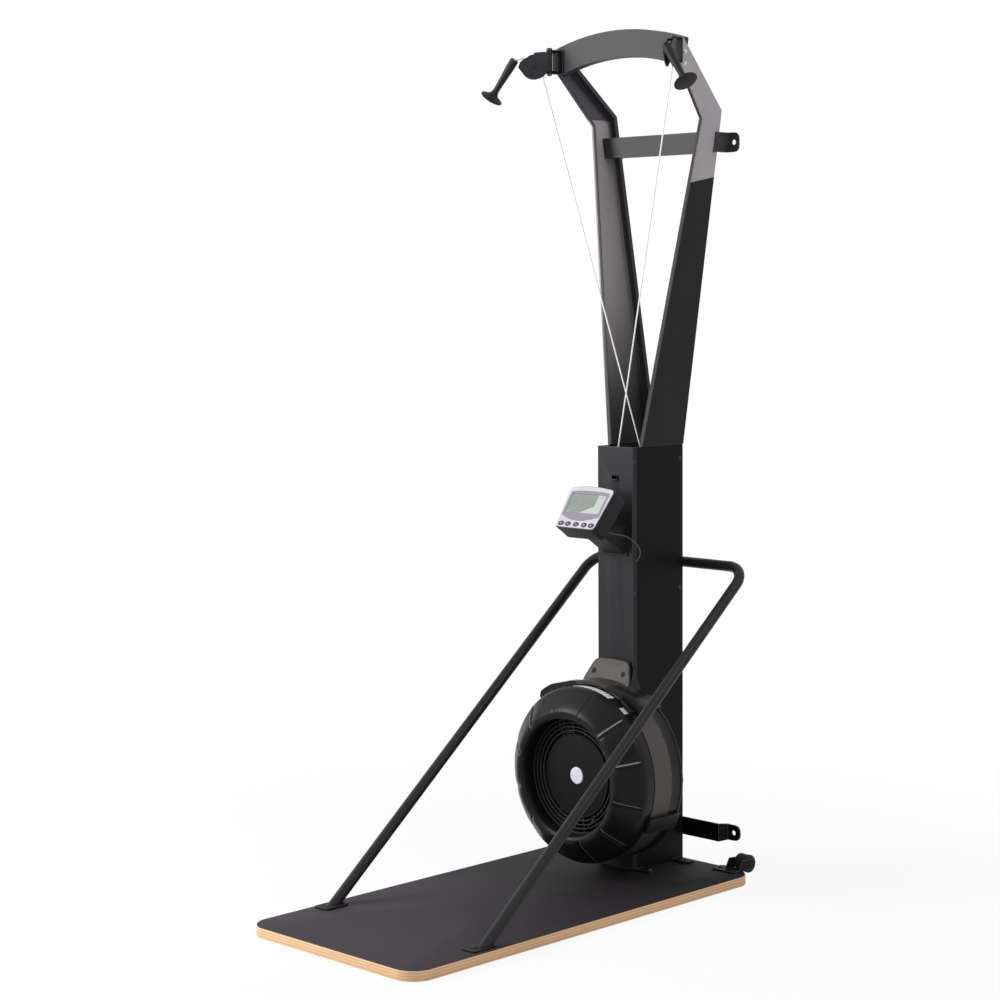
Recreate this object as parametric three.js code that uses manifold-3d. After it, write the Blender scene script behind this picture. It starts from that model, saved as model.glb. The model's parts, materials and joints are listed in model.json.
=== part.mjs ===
// A standing rope-pull ski trainer: a plywood platform, a sheet-metal column with two splayed arms,
// swivelling pulley heads with handles, an air-resistance fan, a console and a tubular brace.
// Millimetres. +Z is up, +X is the user's right as seen in the front view, and -Y is the user's side.
// The origin is the centre of the platform's underside.

import * as THREE from 'three';
import { mergeVertices } from 'three/addons/utils/BufferGeometryUtils.js';
import Module from 'manifold-3d';

// Shared clearances and sheet sizes
const seatGap = 0.3;
const runningGap = 0.3;
const cutOverrun = 2;
const fuseDepth = 1;
const weldTolerance = 1e-4;
const frameSheet = 3;
const coverSheet = 2;
const headShoulderShare = 0.45;
const headCrownShare = 0.7;
const hubShare = 1.8;
const boltHeadRadius = 7;
const boltHeadHeight = 4;
const roundSides = 12;
const pinSides = 8;

// Platform
const boardWidth = 600;
const boardLength = 1240;
const plyThickness = 25;
const boardCornerRadius = 60;
const boardEdgeChamfer = 1.5;
const deckThickness = 1.7;
const deckTop = plyThickness + deckThickness;
const cornerSteps = 5;

// Column
const columnWidth = 118;
const columnDepth = 207;
const columnHeight = 1133;
const columnBackInset = 10;
const columnLipWidth = 12;
const basePlateThickness = 6;
const baseTabReach = 52;
const baseTabWidth = 34;
const baseTabInset = 28;
const columnBack = boardLength / 2 - columnBackInset;
const columnFront = columnBack - columnDepth;
const columnTop = deckTop + columnHeight;
const columnHalf = columnWidth / 2;
const columnInnerHalf = columnHalf - frameSheet;
const coverHalf = columnHalf + seatGap + coverSheet;
const coverReturn = 17;
const lipFront = columnFront + coverSheet + seatGap;
const sideScrewRadius = 4;
const sideScrewHeight = 1.6;
const sideScrewInset = 12;
const sideScrewDrop = 37;
const sideScrewPitch = 351;
const sideScrewRows = 2;
const hookWidth = 26;
const hookSlotHeight = 9;
const hookReach = 9;
const hookDrop = 86;
const sideScrewSides = 6;

// Arms
const armSplayAngle = THREE.MathUtils.degToRad(8.9);
const armFootDepth = 167;
const armKinkRise = 882;
const armKinkBack = 7;
const armKinkDepth = 75;
const armKinkSlip = 25;
const armTopRise = 1060;
const armTopHeight = 66;
const armReach = 198;
const armFrontFlange = 12;
const armRearFlange = 30;
const armLip = 9;
const armTongueLength = 60;
const armTongueInset = 14;
const armFoot = columnTop + seatGap;
const archFace = columnBack - armReach;

// Arch bar between the arm tops
const archRadius = 730;
const archSteps = 10;
const archHeight = 72;
const archRise = 33;
const archDepth = 28;
const archTop = armFoot + armTopRise + archRise;
const archBack = archFace + archDepth;
const archBoltRadius = 5;
const archBoltShares = [0.55, 0.97];
const archBoltDepthShare = 0.7;
const archHalfAngle = THREE.MathUtils.degToRad(27);

// Wall fixing
const wallGap = 32;
const wallPlane = columnBack + wallGap;
const upperBarDrop = 56;
const upperBarHeight = 55;
const upperBarDepth = 28;
const earThickness = 4;
const earHoleRadius = 7;
const upperEarReach = 41;
const upperEarHeight = 52;
const upperEarLeg = 56;
const lowerBarHeight = 48;
const lowerBarThickness = 6;
const lowerBarCentre = 117;
const lowerBarHalf = 184;
const lowerEarHeight = 42;
const lowerEarHalf = 235;
const lowerEarRunShare = 0.45;
const lowerEarRoundShare = 0.9;
const upperEarCornerShare = 0.35;
const upperEarHoleShare = 0.42;
const upperEarBoltShare = 0.72;

// Brace hoop
const hoopRadius = 14;
const hoopLegInset = 30;
const hoopLegHalf = boardWidth / 2 - hoopLegInset;
const hoopBendRadius = 62;
const hoopHeight = 838;
const hoopSlopeAngle = THREE.MathUtils.degToRad(39.4);
const hoopSides = 10;
const hoopBendSteps = 5;
const footPlateWidth = 48;
const footPlateLength = 76;
const footPlateThickness = 5;
const footPlateTail = 27;
const footPlateShift = 6;
const footBoltInset = 26;
const footBoltShift = 8;
const footCornerRadius = 7;

// Swivelling pulley heads
const swivelHalf = 218;
const swivelForward = 26;
const swivelDrop = 80;
const headTurnAngle = THREE.MathUtils.degToRad(29);
const swivelAxis = archFace - swivelForward;
const swivelHeight = archTop - swivelDrop;
const swivelPinRadius = 3.9;
const lugRadius = 9;
const lugThickness = 8;
const lugRoom = 1.5;
const lugWebShare = 0.6;
const bracketPlateWidth = 38;
const bracketPlate = 3;
const barrelRadius = 8.5;
const barrelBottom = -12.6;
const barrelTop = 34.6;
const pinHeadRadius = 8;
const pinHeadHeight = 5;
const pinTailShare = 0.8;
const pinCrownShare = 0.6;
const cheekThickness = 2.5;
const cheekHalf = 9;
const cheekRadius = 36;
const cheekEase = 1;
const cheekSteps = 4;
const cheekShoulderShare = 0.4;
const cheekCrownShares = [1.25, 0.92];
const cheekNoseShares = [1.88, 0.28];
const cheekLipShares = [2.02, -0.14];
const cheekRoofShare = 0.97;
const cheekRoundAngles = [-28.8, -153].map(THREE.MathUtils.degToRad);
const sheaveReach = 42;
const sheaveRadius = 30;
const sheaveSides = 12;
const sheaveHalfWidth = 4.6;
const sheaveGrooveRadius = 23.7;
const sheavePinRadius = 4;
const sheaveRimShare = 0.85;
const ropeRadius = 1.9;
const ropeSides = 6;
const headRopeTail = 38;
const headRopeReach = 92;
const headRopeRise = 14;
const headRopeSteps = 7;

// Handles
const handleLength = 129;
const handleSides = 12;
const handleFlareRadius = 31;
const handleShares = [
  [0, 0], [0.3, 0], [0.37, 0.02], [0.37, 0.22], [0.31, 0.5], [0.275, 0.72], [0.315, 0.82],
  [0.5, 0.89], [0.92, 0.93], [1, 0.96], [0.6, 0.995], [0, 1],
];
const handleReach = 97;
const handleLeanShares = [0.611, -0.102, -0.785];

// Guide pulleys, spools and cords inside the column
const guideRadius = 20;
const guideRimRadius = 24;
const guideDrop = 29.7;
const guideHeight = columnTop - guideDrop;
const guideAxleRadius = 5;
const guideHalfWidth = 5;
const guidePlateDrop = 33;
const guidePlateThickness = 3;
const guideEarRise = 14;
const guideEarRoundShare = 0.6;
const guideRimShare = 0.8;
const guideSides = 10;
const ropeHoleRadius = 7;
const guideTabDrop = 22;
const spoolRopeRadius = 20;
const spoolCordRadius = 16;
const spoolFlangeRadius = 30;
const spoolFlange = 2;
const spoolGroove = 11;
const spoolSpacing = 57;
const spoolStandoff = 3.625;
const ropeEndSlack = 0.63;
const cordRadius = 2.5;
const cordAnchorHalf = 44;

// Fan
const fanHeight = 302;
const fanRadius = 233;
const fanShell = 3;
const fanFrontReach = 195;
const fanBulgeReach = 141;
const fanOpeningReach = 149;
const fanFrontEdgeReach = 107;
const fanRearEdgeReach = 38;
const fanFrontY = columnFront - fanFrontReach;
const fanBulgeY = columnFront - fanBulgeReach;
const fanOpeningDepth = columnFront - fanOpeningReach;
const fanFrontEdge = columnFront - fanFrontEdgeReach;
const fanRearEdge = columnFront - fanRearEdgeReach;
const fanBulgeWidth = 48;
const fanOpeningRadius = 152;
const fanSides = 36;
const bulgeSweepAngle = THREE.MathUtils.degToRad(128);
const bulgeSteps = 4;
const creaseCount = 12;
const creaseWidth = 5;
const creaseDepth = 1.8;
const creaseFirstStep = 1;
const creaseSteps = 2;
const discRadius = 110;
const discProud = 3;
const discFace = fanOpeningDepth - discProud;
const discThickness = 3;
const grilleSides = 18;
const grilleRings = 4;
const grilleRingStep = 2;
const grilleRingWidth = 2.6;
const grilleRingDepth = 8;
const grilleSpokes = 9;
const grilleSpokeAngle = THREE.MathUtils.degToRad(98);
const grilleSpokeWidth = 3.5;
const capRadius = 22.5;
const capThickness = 2.5;
const capFaceShare = 0.9;
const capSides = 14;
const meshThickness = 1.6;
const hoodHalfAngle = THREE.MathUtils.degToRad(41);
const hoodInset = 10;
const hoodFront = fanFrontEdge + hoodInset;
const bridgeAngles = [54, 126, -27, -153].map(THREE.MathUtils.degToRad);
const bridgeWidth = 44;
const bridgeHeight = 10;
const bridgeLap = 10;
const bridgeFront = fanFrontEdge - bridgeLap;
const bridgeLift = 0.8;
const bridgeInset = 3;
const bridgeRoundShare = 0.35;
const backPlate = 4.5;
const shaftHoleRadius = 24;
const neckTopHalf = 58;
const neckBottomHalf = 89;
const shellRim = 6;
const neckTopRise = 290;
const neckLap = 35;
const neckProud = 1;
const neckSkirt = 24;
const neckCrown = 12;
const neckStep = 6;
const neckCorner = 18;
const neckHoleDepth = 15;
const neckTop = fanHeight + neckTopRise;
const neckBottom = fanHeight + fanRadius - neckLap;
const neckFront = fanRearEdge - neckProud;
const neckBoltHalf = 51.6;
const neckBoltDrop = 33;
const neckBoltHeight = neckTop - neckBoltDrop;
const neckBoltRadius = 5;
const damperRadius = (fanRadius - fanShell) * Math.cos(Math.PI / fanSides) - runningGap;
const damperSheet = 2.5;
const damperInset = 2;
const damperFront = fanFrontEdge + damperInset;
const damperSeat = 7;
const damperBack = fanRearEdge + damperSeat;
const damperSides = 16;
const damperWindows = 8;
const damperWindow = 76;
const damperPhaseShare = 0.25;
const damperRim = 14;
const damperLeverAngle = THREE.MathUtils.degToRad(62);
const damperLeverReach = 243;
const damperLeverWidth = 9;
const damperLeverThickness = 5;
const impellerRadius = 214;
const impellerInner = 96;
const impellerBlades = 10;
const impellerSides = 18;
const impellerBladeThickness = 2.6;
const impellerInset = 20;
const impellerOverlap = 21;
const impellerFront = damperFront + impellerInset;
const impellerBack = fanRearEdge + impellerOverlap;
const impellerRim = 8;
const impellerDisc = 3;
const impellerHubRadius = 26;
const impellerHubInset = 12;
const impellerHubFront = impellerFront + impellerHubInset;
const bladeReachShare = 0.96;
const bladeRakeAngle = THREE.MathUtils.degToRad(24);
const axleRadius = 8.5;
const axleSides = 12;
const spoolSides = 10;
const axleInset = 4;
const axleFront = impellerFront + axleInset;
const bearingRadius = 18;
const bearingWidth = 12;
const bearingInset = 1;
const housingRadius = 25;
const housingWidth = 14;
const drivePlateHeight = 204;

// Console
const consoleHeight = 1003;
const consoleForward = 121;
const consoleLeanAngle = THREE.MathUtils.degToRad(53.3);
const consoleTopWidth = 158;
const consoleBottomWidth = 139;
const consoleFaceHeight = 127;
const consoleBow = 6;
const consoleBowShares = [0.15, 1.8];
const consoleCorner = 12;
const consoleDepth = 55;
const consoleBackBevel = 8;
const consoleSteps = 3;
const bezelInset = 2.5;
const bezelThickness = 3;
const screenWidth = 118;
const screenHeight = 58;
const screenRise = 14;
const screenThickness = 1.6;
const screenCorner = 3;
const buttonWidth = 19;
const buttonHeight = 12;
const buttonThickness = 3;
const buttonSteps = 1;
const buttonRise = 1.4;
const buttonDrop = 50;
const buttonShares = [-1, -0.54, 0, 0.54, 1];
const buttonSpread = 53;
const ovalRoundShare = 0.45;
const tiltDrop = 28;
const tiltStandoff = 22;
const tiltRadius = 10;
const tiltPinRadius = 4;
const earRootShare = 1.6;
const tongueHalf = 38;
const tongueSweepAngle = THREE.MathUtils.degToRad(234);
const earGap = 0.5;
const consoleEar = 4.5;
const bracketHalf = 46;
const bracketFootDrop = 41;
const bracketFootLength = 92;
const bracketFootTop = consoleHeight - bracketFootDrop;
const bracketFootBottom = bracketFootTop - bracketFootLength;
const bracketFootPlate = 4;
const cableRadius = 1.75;
const cableSteps = 12;
const cableStraight = 6;
const glandRadius = 3.6;
const glandLength = 6;
const cableGlandOffset = 50;
const columnGlandDrop = 141;
const columnGlandHeight = consoleHeight - columnGlandDrop;
const columnGlandInset = 9;
const columnGlandLength = 3.2;
// The loop's chosen points: out from the middle, back from the column's face, up from the console.
const cableWaypoints = [[62, -58, -69], [76, -39, -75], [85, -13, -95], [85, 4, -119]];

// Transport wheels
const wheelInset = 54;
const wheelHalf = boardWidth / 2 - wheelInset;
const wheelRadius = 24;
const wheelWidth = 40;
const wheelTreadRound = 3;
const wheelHeight = 40;
const wheelOverhang = 25;
const wheelAxleRadius = 4;
const wheelEar = 3;
const wheelEarGap = 1;
const wheelEarRadius = 13;
const wheelEarShares = [1.3, 1.1, 0.6];
const wheelEarAngles = [81, -90].map(THREE.MathUtils.degToRad);
const wheelAxleProud = 2;
const wheelPlateLength = 46;
const wheelPlateOverhang = 29;
const wheelPlateThickness = 4;
const wheelBoltRadius = 5.6;
const wheelBoltInset = 9;

const wasm = await Module();
wasm.setup();

// Closed-mesh helpers

function tripleVolume(position, a, b, c) {
  const p = new THREE.Vector3().fromBufferAttribute(position, a);
  const q = new THREE.Vector3().fromBufferAttribute(position, b);
  const r = new THREE.Vector3().fromBufferAttribute(position, c);
  return p.dot(q.cross(r));
}

// Welds the corners, drops the triangles that collapse, and turns the faces outward.
function weld(geometry) {
  const bare = geometry.index ? geometry.toNonIndexed() : geometry.clone();
  for (const name of Object.keys(bare.attributes)) {
    if (name !== 'position') bare.deleteAttribute(name);
  }
  const merged = mergeVertices(bare, weldTolerance);
  const old = merged.index.array;
  const kept = [];
  let volume = 0;
  for (let i = 0; i < old.length; i += 3) {
    const [a, b, c] = [old[i], old[i + 1], old[i + 2]];
    if (a === b || b === c || c === a) continue;
    kept.push(a, b, c);
    volume += tripleVolume(merged.attributes.position, a, b, c);
  }
  if (volume < 0) {
    for (let i = 0; i < kept.length; i += 3) {
      [kept[i + 1], kept[i + 2]] = [kept[i + 2], kept[i + 1]];
    }
  }
  merged.setIndex(kept);
  return merged;
}

function toSolid(geometry) {
  const welded = weld(geometry);
  return new wasm.Manifold(new wasm.Mesh({
    numProp: 3,
    vertProperties: new Float32Array(welded.attributes.position.array),
    triVerts: new Uint32Array(welded.index.array),
  }));
}

function toGeometry(solid) {
  const mesh = solid.getMesh();
  const geometry = new THREE.BufferGeometry();
  geometry.setAttribute('position', new THREE.BufferAttribute(new Float32Array(mesh.vertProperties), 3));
  geometry.setIndex([...mesh.triVerts]);
  return geometry;
}

function join(first, ...others) {
  return toGeometry(others.reduce((sum, part) => sum.add(toSolid(part)), toSolid(first)));
}

function cut(body, ...tools) {
  return toGeometry(tools.reduce((rest, tool) => rest.subtract(toSolid(tool)), toSolid(body)));
}

function common(first, second) {
  return toGeometry(toSolid(first).intersect(toSolid(second)));
}

function mirrored(geometry) {
  return weld(geometry.clone().applyMatrix4(new THREE.Matrix4().makeScale(-1, 1, 1)));
}

// Form helpers. An outline is drawn in the plane named, and runs from the first limit to the second.

function block(x0, x1, y0, y1, z0, z1) {
  const geometry = new THREE.BoxGeometry(x1 - x0, y1 - y0, z1 - z0);
  return geometry.translate((x0 + x1) / 2, (y0 + y1) / 2, (z0 + z1) / 2);
}

function extrude(outline, depth, curveSegments) {
  return new THREE.ExtrudeGeometry(outline, { depth, bevelEnabled: false, curveSegments });
}

function plateXY(outline, z0, z1, curveSegments = 4) {
  return extrude(outline, z1 - z0, curveSegments).translate(0, 0, z0);
}

function plateXZ(outline, y0, y1, curveSegments = 4) {
  return extrude(outline, y1 - y0, curveSegments).rotateX(Math.PI / 2).translate(0, y1, 0);
}

function plateYZ(outline, x0, x1, curveSegments = 4) {
  const turn = new THREE.Matrix4().makeBasis(
    new THREE.Vector3(0, 1, 0), new THREE.Vector3(0, 0, 1), new THREE.Vector3(1, 0, 0));
  return extrude(outline, x1 - x0, curveSegments).applyMatrix4(turn).translate(x0, 0, 0);
}

// A profile of [radius, height] points, turned about Y, Z or X.
function turnedY(profile, sides = roundSides) {
  return weld(new THREE.LatheGeometry(profile.map(([r, h]) => new THREE.Vector2(r, h)), sides));
}

function turnedZ(profile, sides = roundSides) {
  return turnedY(profile, sides).rotateX(Math.PI / 2);
}

function turnedX(profile, sides = roundSides) {
  return turnedY(profile, sides).rotateZ(-Math.PI / 2);
}

function rodProfile(radius, from, to) {
  return [[0, from], [radius, from], [radius, to], [0, to]];
}

// The corner radius of a faceted bore that turns freely on a shaft.
function boreFor(shaftRadius, sides) {
  return (shaftRadius + runningGap) / Math.cos(Math.PI / sides);
}

function ringProfile(inner, outer, from, to) {
  return [[inner, from], [outer, from], [outer, to], [inner, to], [inner, from]];
}

// A low head that stands on a face at height zero, with a short root sunk into it.
function headProfile(radius, height) {
  return [
    [0, -fuseDepth], [radius, -fuseDepth], [radius, height * headShoulderShare],
    [radius * headCrownShare, height], [0, height],
  ];
}

function polygon(points) {
  return new THREE.Shape(points.map(([x, y]) => new THREE.Vector2(x, y)));
}

// A polygon whose corners are rounded, each by its own radius.
function rounded(points, radii) {
  const shape = new THREE.Shape();
  const count = points.length;
  points.forEach(([x, y], i) => {
    const radius = Array.isArray(radii) ? radii[i] : radii;
    const corner = new THREE.Vector2(x, y);
    const before = new THREE.Vector2(...points[(i + count - 1) % count]).sub(corner).setLength(radius);
    const after = new THREE.Vector2(...points[(i + 1) % count]).sub(corner).setLength(radius);
    const start = corner.clone().add(before);
    const end = corner.clone().add(after);
    if (i === 0) shape.moveTo(start.x, start.y);
    else shape.lineTo(start.x, start.y);
    if (radius > 0) shape.quadraticCurveTo(x, y, end.x, end.y);
  });
  shape.closePath();
  return shape;
}

function roundedBox(halfX, halfY, radius, x = 0, y = 0) {
  return rounded([
    [x - halfX, y - halfY], [x + halfX, y - halfY], [x + halfX, y + halfY], [x - halfX, y + halfY],
  ], radius);
}

// Two or more straight edges moved sideways by a distance, and met again at their corners.
function offsetLine(points, distance) {
  const moved = points.slice(1).map((to, i) => {
    const from = new THREE.Vector2(...points[i]);
    const along = new THREE.Vector2(...to).sub(from).normalize();
    const side = new THREE.Vector2(-along.y, along.x).multiplyScalar(distance);
    return { from: from.add(side), along };
  });
  const result = [moved[0].from.toArray()];
  for (let i = 1; i < moved.length; i += 1) {
    const [one, two] = [moved[i - 1], moved[i]];
    const gap = two.from.clone().sub(one.from);
    const reach = gap.cross(two.along) / one.along.cross(two.along);
    result.push(one.from.clone().addScaledVector(one.along, reach).toArray());
  }
  const last = moved[moved.length - 1];
  const length = new THREE.Vector2(...points.at(-1)).distanceTo(new THREE.Vector2(...points.at(-2)));
  result.push(last.from.clone().addScaledVector(last.along, length).toArray());
  return result;
}

// A path that visits chosen stations, so that a tube has sections only where it needs them.
class StationPath extends THREE.Curve {
  constructor(stations) {
    super();
    this.stations = stations;
  }

  getPoint(t, target = new THREE.Vector3()) {
    const place = t * (this.stations.length - 1);
    const index = Math.min(Math.floor(place + 1e-9), this.stations.length - 2);
    return target.lerpVectors(this.stations[index], this.stations[index + 1], place - index);
  }

  getPointAt(t, target) {
    return this.getPoint(t, target);
  }

  getTangentAt(t, target = new THREE.Vector3()) {
    const last = this.stations.length - 1;
    const index = Math.round(t * last);
    const before = this.stations[Math.max(index - 1, 0)];
    const here = this.stations[index];
    const after = this.stations[Math.min(index + 1, last)];
    const into = here.clone().sub(before).normalize();
    const out = after.clone().sub(here).normalize();
    return target.copy(into).add(out).normalize();
  }
}

function tube(stations, radius, sides) {
  const section = new THREE.Shape();
  for (let i = 0; i < sides; i += 1) {
    const angle = (i / sides) * 2 * Math.PI;
    const [x, y] = [radius * Math.cos(angle), radius * Math.sin(angle)];
    if (i === 0) section.moveTo(x, y);
    else section.lineTo(x, y);
  }
  section.closePath();
  const path = new StationPath(stations);
  return weld(new THREE.ExtrudeGeometry(section, { steps: stations.length - 1, extrudePath: path }));
}

// Stations along straight runs whose corners are bent to a radius.
function bentRun(corners, radius, steps) {
  const stations = [corners[0].clone()];
  for (let i = 1; i < corners.length - 1; i += 1) {
    const into = corners[i].clone().sub(corners[i - 1]).normalize();
    const out = corners[i + 1].clone().sub(corners[i]).normalize();
    const half = into.angleTo(out) / 2;
    const trim = radius * Math.tan(half);
    const inward = out.clone().sub(into).normalize();
    const centre = corners[i].clone().addScaledVector(inward, radius / Math.cos(half));
    const start = corners[i].clone().addScaledVector(into, -trim).sub(centre);
    const axis = new THREE.Vector3().crossVectors(into, out).normalize();
    for (let k = 0; k <= steps; k += 1) {
      stations.push(start.clone().applyAxisAngle(axis, (2 * half * k) / steps).add(centre));
    }
  }
  stations.push(corners.at(-1).clone());
  return stations;
}

// Materials

function finish(color, roughness, metalness) {
  return () => new THREE.MeshStandardMaterial({ color, roughness, metalness });
}

const plywood = finish(0xc99a62, 0.6, 0);
const deckFilm = finish(0x242326, 0.8, 0);
const blackPowder = finish(0x1b1b1d, 0.5, 0.3);
const darkPowder = finish(0x232327, 0.45, 0.3);
const glossBlack = finish(0x0d0d0f, 0.25, 0);
const mattBlack = finish(0x161618, 0.6, 0);
const zincSteel = finish(0x8d9095, 0.35, 0.9);
const polymer = finish(0x2a2a2c, 0.55, 0);
const rope = finish(0xeceae4, 0.8, 0);
const meshSteel = finish(0x6f6a68, 0.55, 0.6);
const bezelSilver = finish(0xc4c6ca, 0.3, 0.7);
const screenGreen = finish(0xa9b5a8, 0.25, 0);
const capWhite = finish(0xe6e6e8, 0.5, 0);
const rubber = finish(0x151515, 0.85, 0);

const machine = new THREE.Group();

function add(name, geometry, material, parent = machine) {
  const mesh = new THREE.Mesh(weld(geometry), material());
  mesh.name = name;
  parent.add(mesh);
  return mesh;
}

// Platform

function buildPlatform() {
  const outline = roundedBox(
    boardWidth / 2 - boardEdgeChamfer, boardLength / 2 - boardEdgeChamfer, boardCornerRadius);
  const board = new THREE.ExtrudeGeometry(outline, {
    depth: plyThickness - 2 * boardEdgeChamfer,
    bevelThickness: boardEdgeChamfer,
    bevelSize: boardEdgeChamfer,
    bevelSegments: 1,
    curveSegments: cornerSteps,
  }).translate(0, 0, boardEdgeChamfer);
  add('base_board', board, plywood);
  add('deck_surface', plateXY(outline, plyThickness, deckTop, cornerSteps), deckFilm);
}

// Column

function columnBaseTabs() {
  const tabs = [];
  const reach = columnHalf + baseTabReach;
  for (const y of [columnBack - baseTabInset, columnFront + baseTabInset]) {
    const plate = roundedBox(reach, baseTabWidth / 2, baseTabWidth / 4, 0, y);
    tabs.push(plateXY(plate, deckTop, deckTop + basePlateThickness, 2));
    for (const side of [-1, 1]) {
      const head = turnedZ(headProfile(boltHeadRadius, boltHeadHeight), pinSides);
      const x = side * (reach - baseTabWidth / 2);
      tabs.push(head.translate(x, y, deckTop + basePlateThickness));
    }
  }
  return tabs;
}

function buildColumnFrame() {
  const plan = polygon([
    [-columnHalf, lipFront], [-columnHalf + columnLipWidth, lipFront],
    [-columnHalf + columnLipWidth, lipFront + frameSheet], [-columnInnerHalf, lipFront + frameSheet],
    [-columnInnerHalf, columnBack - frameSheet], [columnInnerHalf, columnBack - frameSheet],
    [columnInnerHalf, lipFront + frameSheet], [columnHalf - columnLipWidth, lipFront + frameSheet],
    [columnHalf - columnLipWidth, lipFront], [columnHalf, lipFront],
    [columnHalf, columnBack], [-columnHalf, columnBack],
  ]);
  const walls = plateXY(plan, deckTop, columnTop);
  const floor = block(-columnHalf, columnHalf, lipFront, columnBack, deckTop, deckTop + basePlateThickness);
  const back = columnBack - frameSheet;
  const boss = turnedY(rodProfile(housingRadius, back - housingWidth, back + frameSheet / 2), axleSides)
    .translate(0, 0, fanHeight);
  const seat = turnedY(rodProfile(bearingRadius + seatGap, back - housingWidth - cutOverrun, back), axleSides)
    .translate(0, 0, fanHeight);
  const screws = [];
  for (const side of [-1, 1]) {
    for (let row = 0; row < sideScrewRows; row += 1) {
      const height = columnTop - sideScrewDrop - row * sideScrewPitch;
      const screw = turnedX(headProfile(sideScrewRadius, sideScrewHeight), sideScrewSides);
      if (side < 0) screw.rotateZ(Math.PI);
      screws.push(screw.translate(side * columnHalf, columnBack - sideScrewInset, height));
    }
  }
  add('column_frame', cut(join(walls, floor, boss, ...columnBaseTabs(), ...screws), seat), blackPowder);
}

function buildColumnCover() {
  const bottom = deckTop + basePlateThickness + seatGap;
  const side = coverHalf - coverSheet;
  const plan = polygon([
    [-coverHalf, columnFront], [coverHalf, columnFront], [coverHalf, columnFront + coverReturn],
    [side, columnFront + coverReturn], [side, columnFront + coverSheet],
    [-side, columnFront + coverSheet], [-side, columnFront + coverReturn],
    [-coverHalf, columnFront + coverReturn],
  ]);
  const shell = plateXY(plan, bottom, columnTop);
  const slotBottom = columnTop - hookDrop;
  const back = columnFront + coverSheet + cutOverrun;
  const slot = block(-hookWidth / 2, hookWidth / 2, columnFront - cutOverrun, back,
    slotBottom, slotBottom + hookSlotHeight);
  const hook = block(-hookWidth / 2, hookWidth / 2, columnFront - hookReach, columnFront + coverSheet,
    slotBottom - coverSheet, slotBottom);
  const shaftHole = turnedY(rodProfile(shaftHoleRadius, columnFront - cutOverrun, back), axleSides)
    .translate(0, 0, fanHeight);
  const gland = turnedX(rodProfile(glandRadius, -coverSheet / 2, columnGlandLength), pinSides)
    .translate(coverHalf, columnFront + columnGlandInset, columnGlandHeight);
  const screws = [];
  for (const edge of [-1, 1]) {
    for (let row = 0; row < sideScrewRows; row += 1) {
      const height = columnTop - sideScrewDrop - row * sideScrewPitch;
      const screw = turnedX(headProfile(sideScrewRadius, sideScrewHeight), sideScrewSides);
      if (edge < 0) screw.rotateZ(Math.PI);
      screws.push(screw.translate(edge * coverHalf, columnFront + coverReturn / 2, height));
    }
  }
  add('column_front_cover', cut(join(shell, hook, gland, ...screws), slot, shaftHole), blackPowder);
}

// Arms. The flat web leans out by the splay angle, and its outline is drawn in its own plane.

function slopeLength(rise) {
  return rise / Math.cos(armSplayAngle);
}

// Outer half width of the arms at a height.
function armHalfAt(height) {
  return coverHalf + (height - armFoot) * Math.tan(armSplayAngle);
}

function armEdges() {
  const rear = [
    [columnBack, 0],
    [columnBack - armKinkBack, slopeLength(armKinkRise)],
    [archFace, slopeLength(armTopRise)],
  ];
  const front = [
    [columnBack - armFootDepth, 0],
    [columnBack - armKinkBack - armKinkDepth, slopeLength(armKinkRise - armKinkSlip)],
    [archFace, slopeLength(armTopRise - armTopHeight)],
  ];
  return { rear, front };
}

function strip(edge, width) {
  const inner = offsetLine(edge, width);
  return polygon([...edge, ...inner.reverse()]);
}

function buildArmGeometry() {
  const { rear, front } = armEdges();
  const outline = polygon([...rear, ...[...front].reverse()]);
  const web = plateYZ(outline, -frameSheet, 0);
  const rearFlange = plateYZ(strip(rear, frameSheet), -armRearFlange, 0);
  const rearLip = plateYZ(strip(rear, frameSheet + armLip), -armRearFlange, -armRearFlange + frameSheet);
  const frontFlange = plateYZ(strip(front, -frameSheet), -armFrontFlange, 0);
  const envelope = plateYZ(outline, -armRearFlange, 0);
  const flanges = common(join(rearFlange, rearLip, frontFlange), envelope);
  const long = slopeLength(armTopRise) + cutOverrun;
  const archRoom = block(-armRearFlange - cutOverrun, -frameSheet,
    archFace - cutOverrun, archBack + 2 * seatGap + armLip, long / 2, long);
  const belowFoot = block(-armRearFlange - cutOverrun, cutOverrun,
    columnFront, columnBack + cutOverrun, -frameSheet - armLip, 0);
  const channel = cut(join(web, flanges), archRoom, belowFoot);
  channel.rotateY(armSplayAngle).translate(coverHalf, 0, armFoot);
  const inner = columnInnerHalf - seatGap;
  const footFront = columnBack - armFootDepth;
  const foot = block(inner - frameSheet, coverHalf, footFront, columnBack, armFoot, armFoot + frameSheet);
  const tongue = block(inner - frameSheet, inner, footFront + armTongueInset,
    columnBack - frameSheet - armTongueInset, armFoot - armTongueLength, armFoot + frameSheet);
  const bolts = archBoltShares.map((share) => {
    const height = armFoot + armTopRise - armTopHeight * share;
    const bolt = turnedX(headProfile(archBoltRadius, archBoltRadius / 2), pinSides);
    const y = archFace + archDepth * archBoltDepthShare;
    return bolt.rotateY(armSplayAngle).translate(armHalfAt(height), y, height);
  });
  return join(channel, foot, tongue, ...bolts);
}

function buildArms() {
  const right = buildArmGeometry();
  add('arm_right', right, darkPowder);
  add('arm_left', mirrored(right), darkPowder);
}

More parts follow.
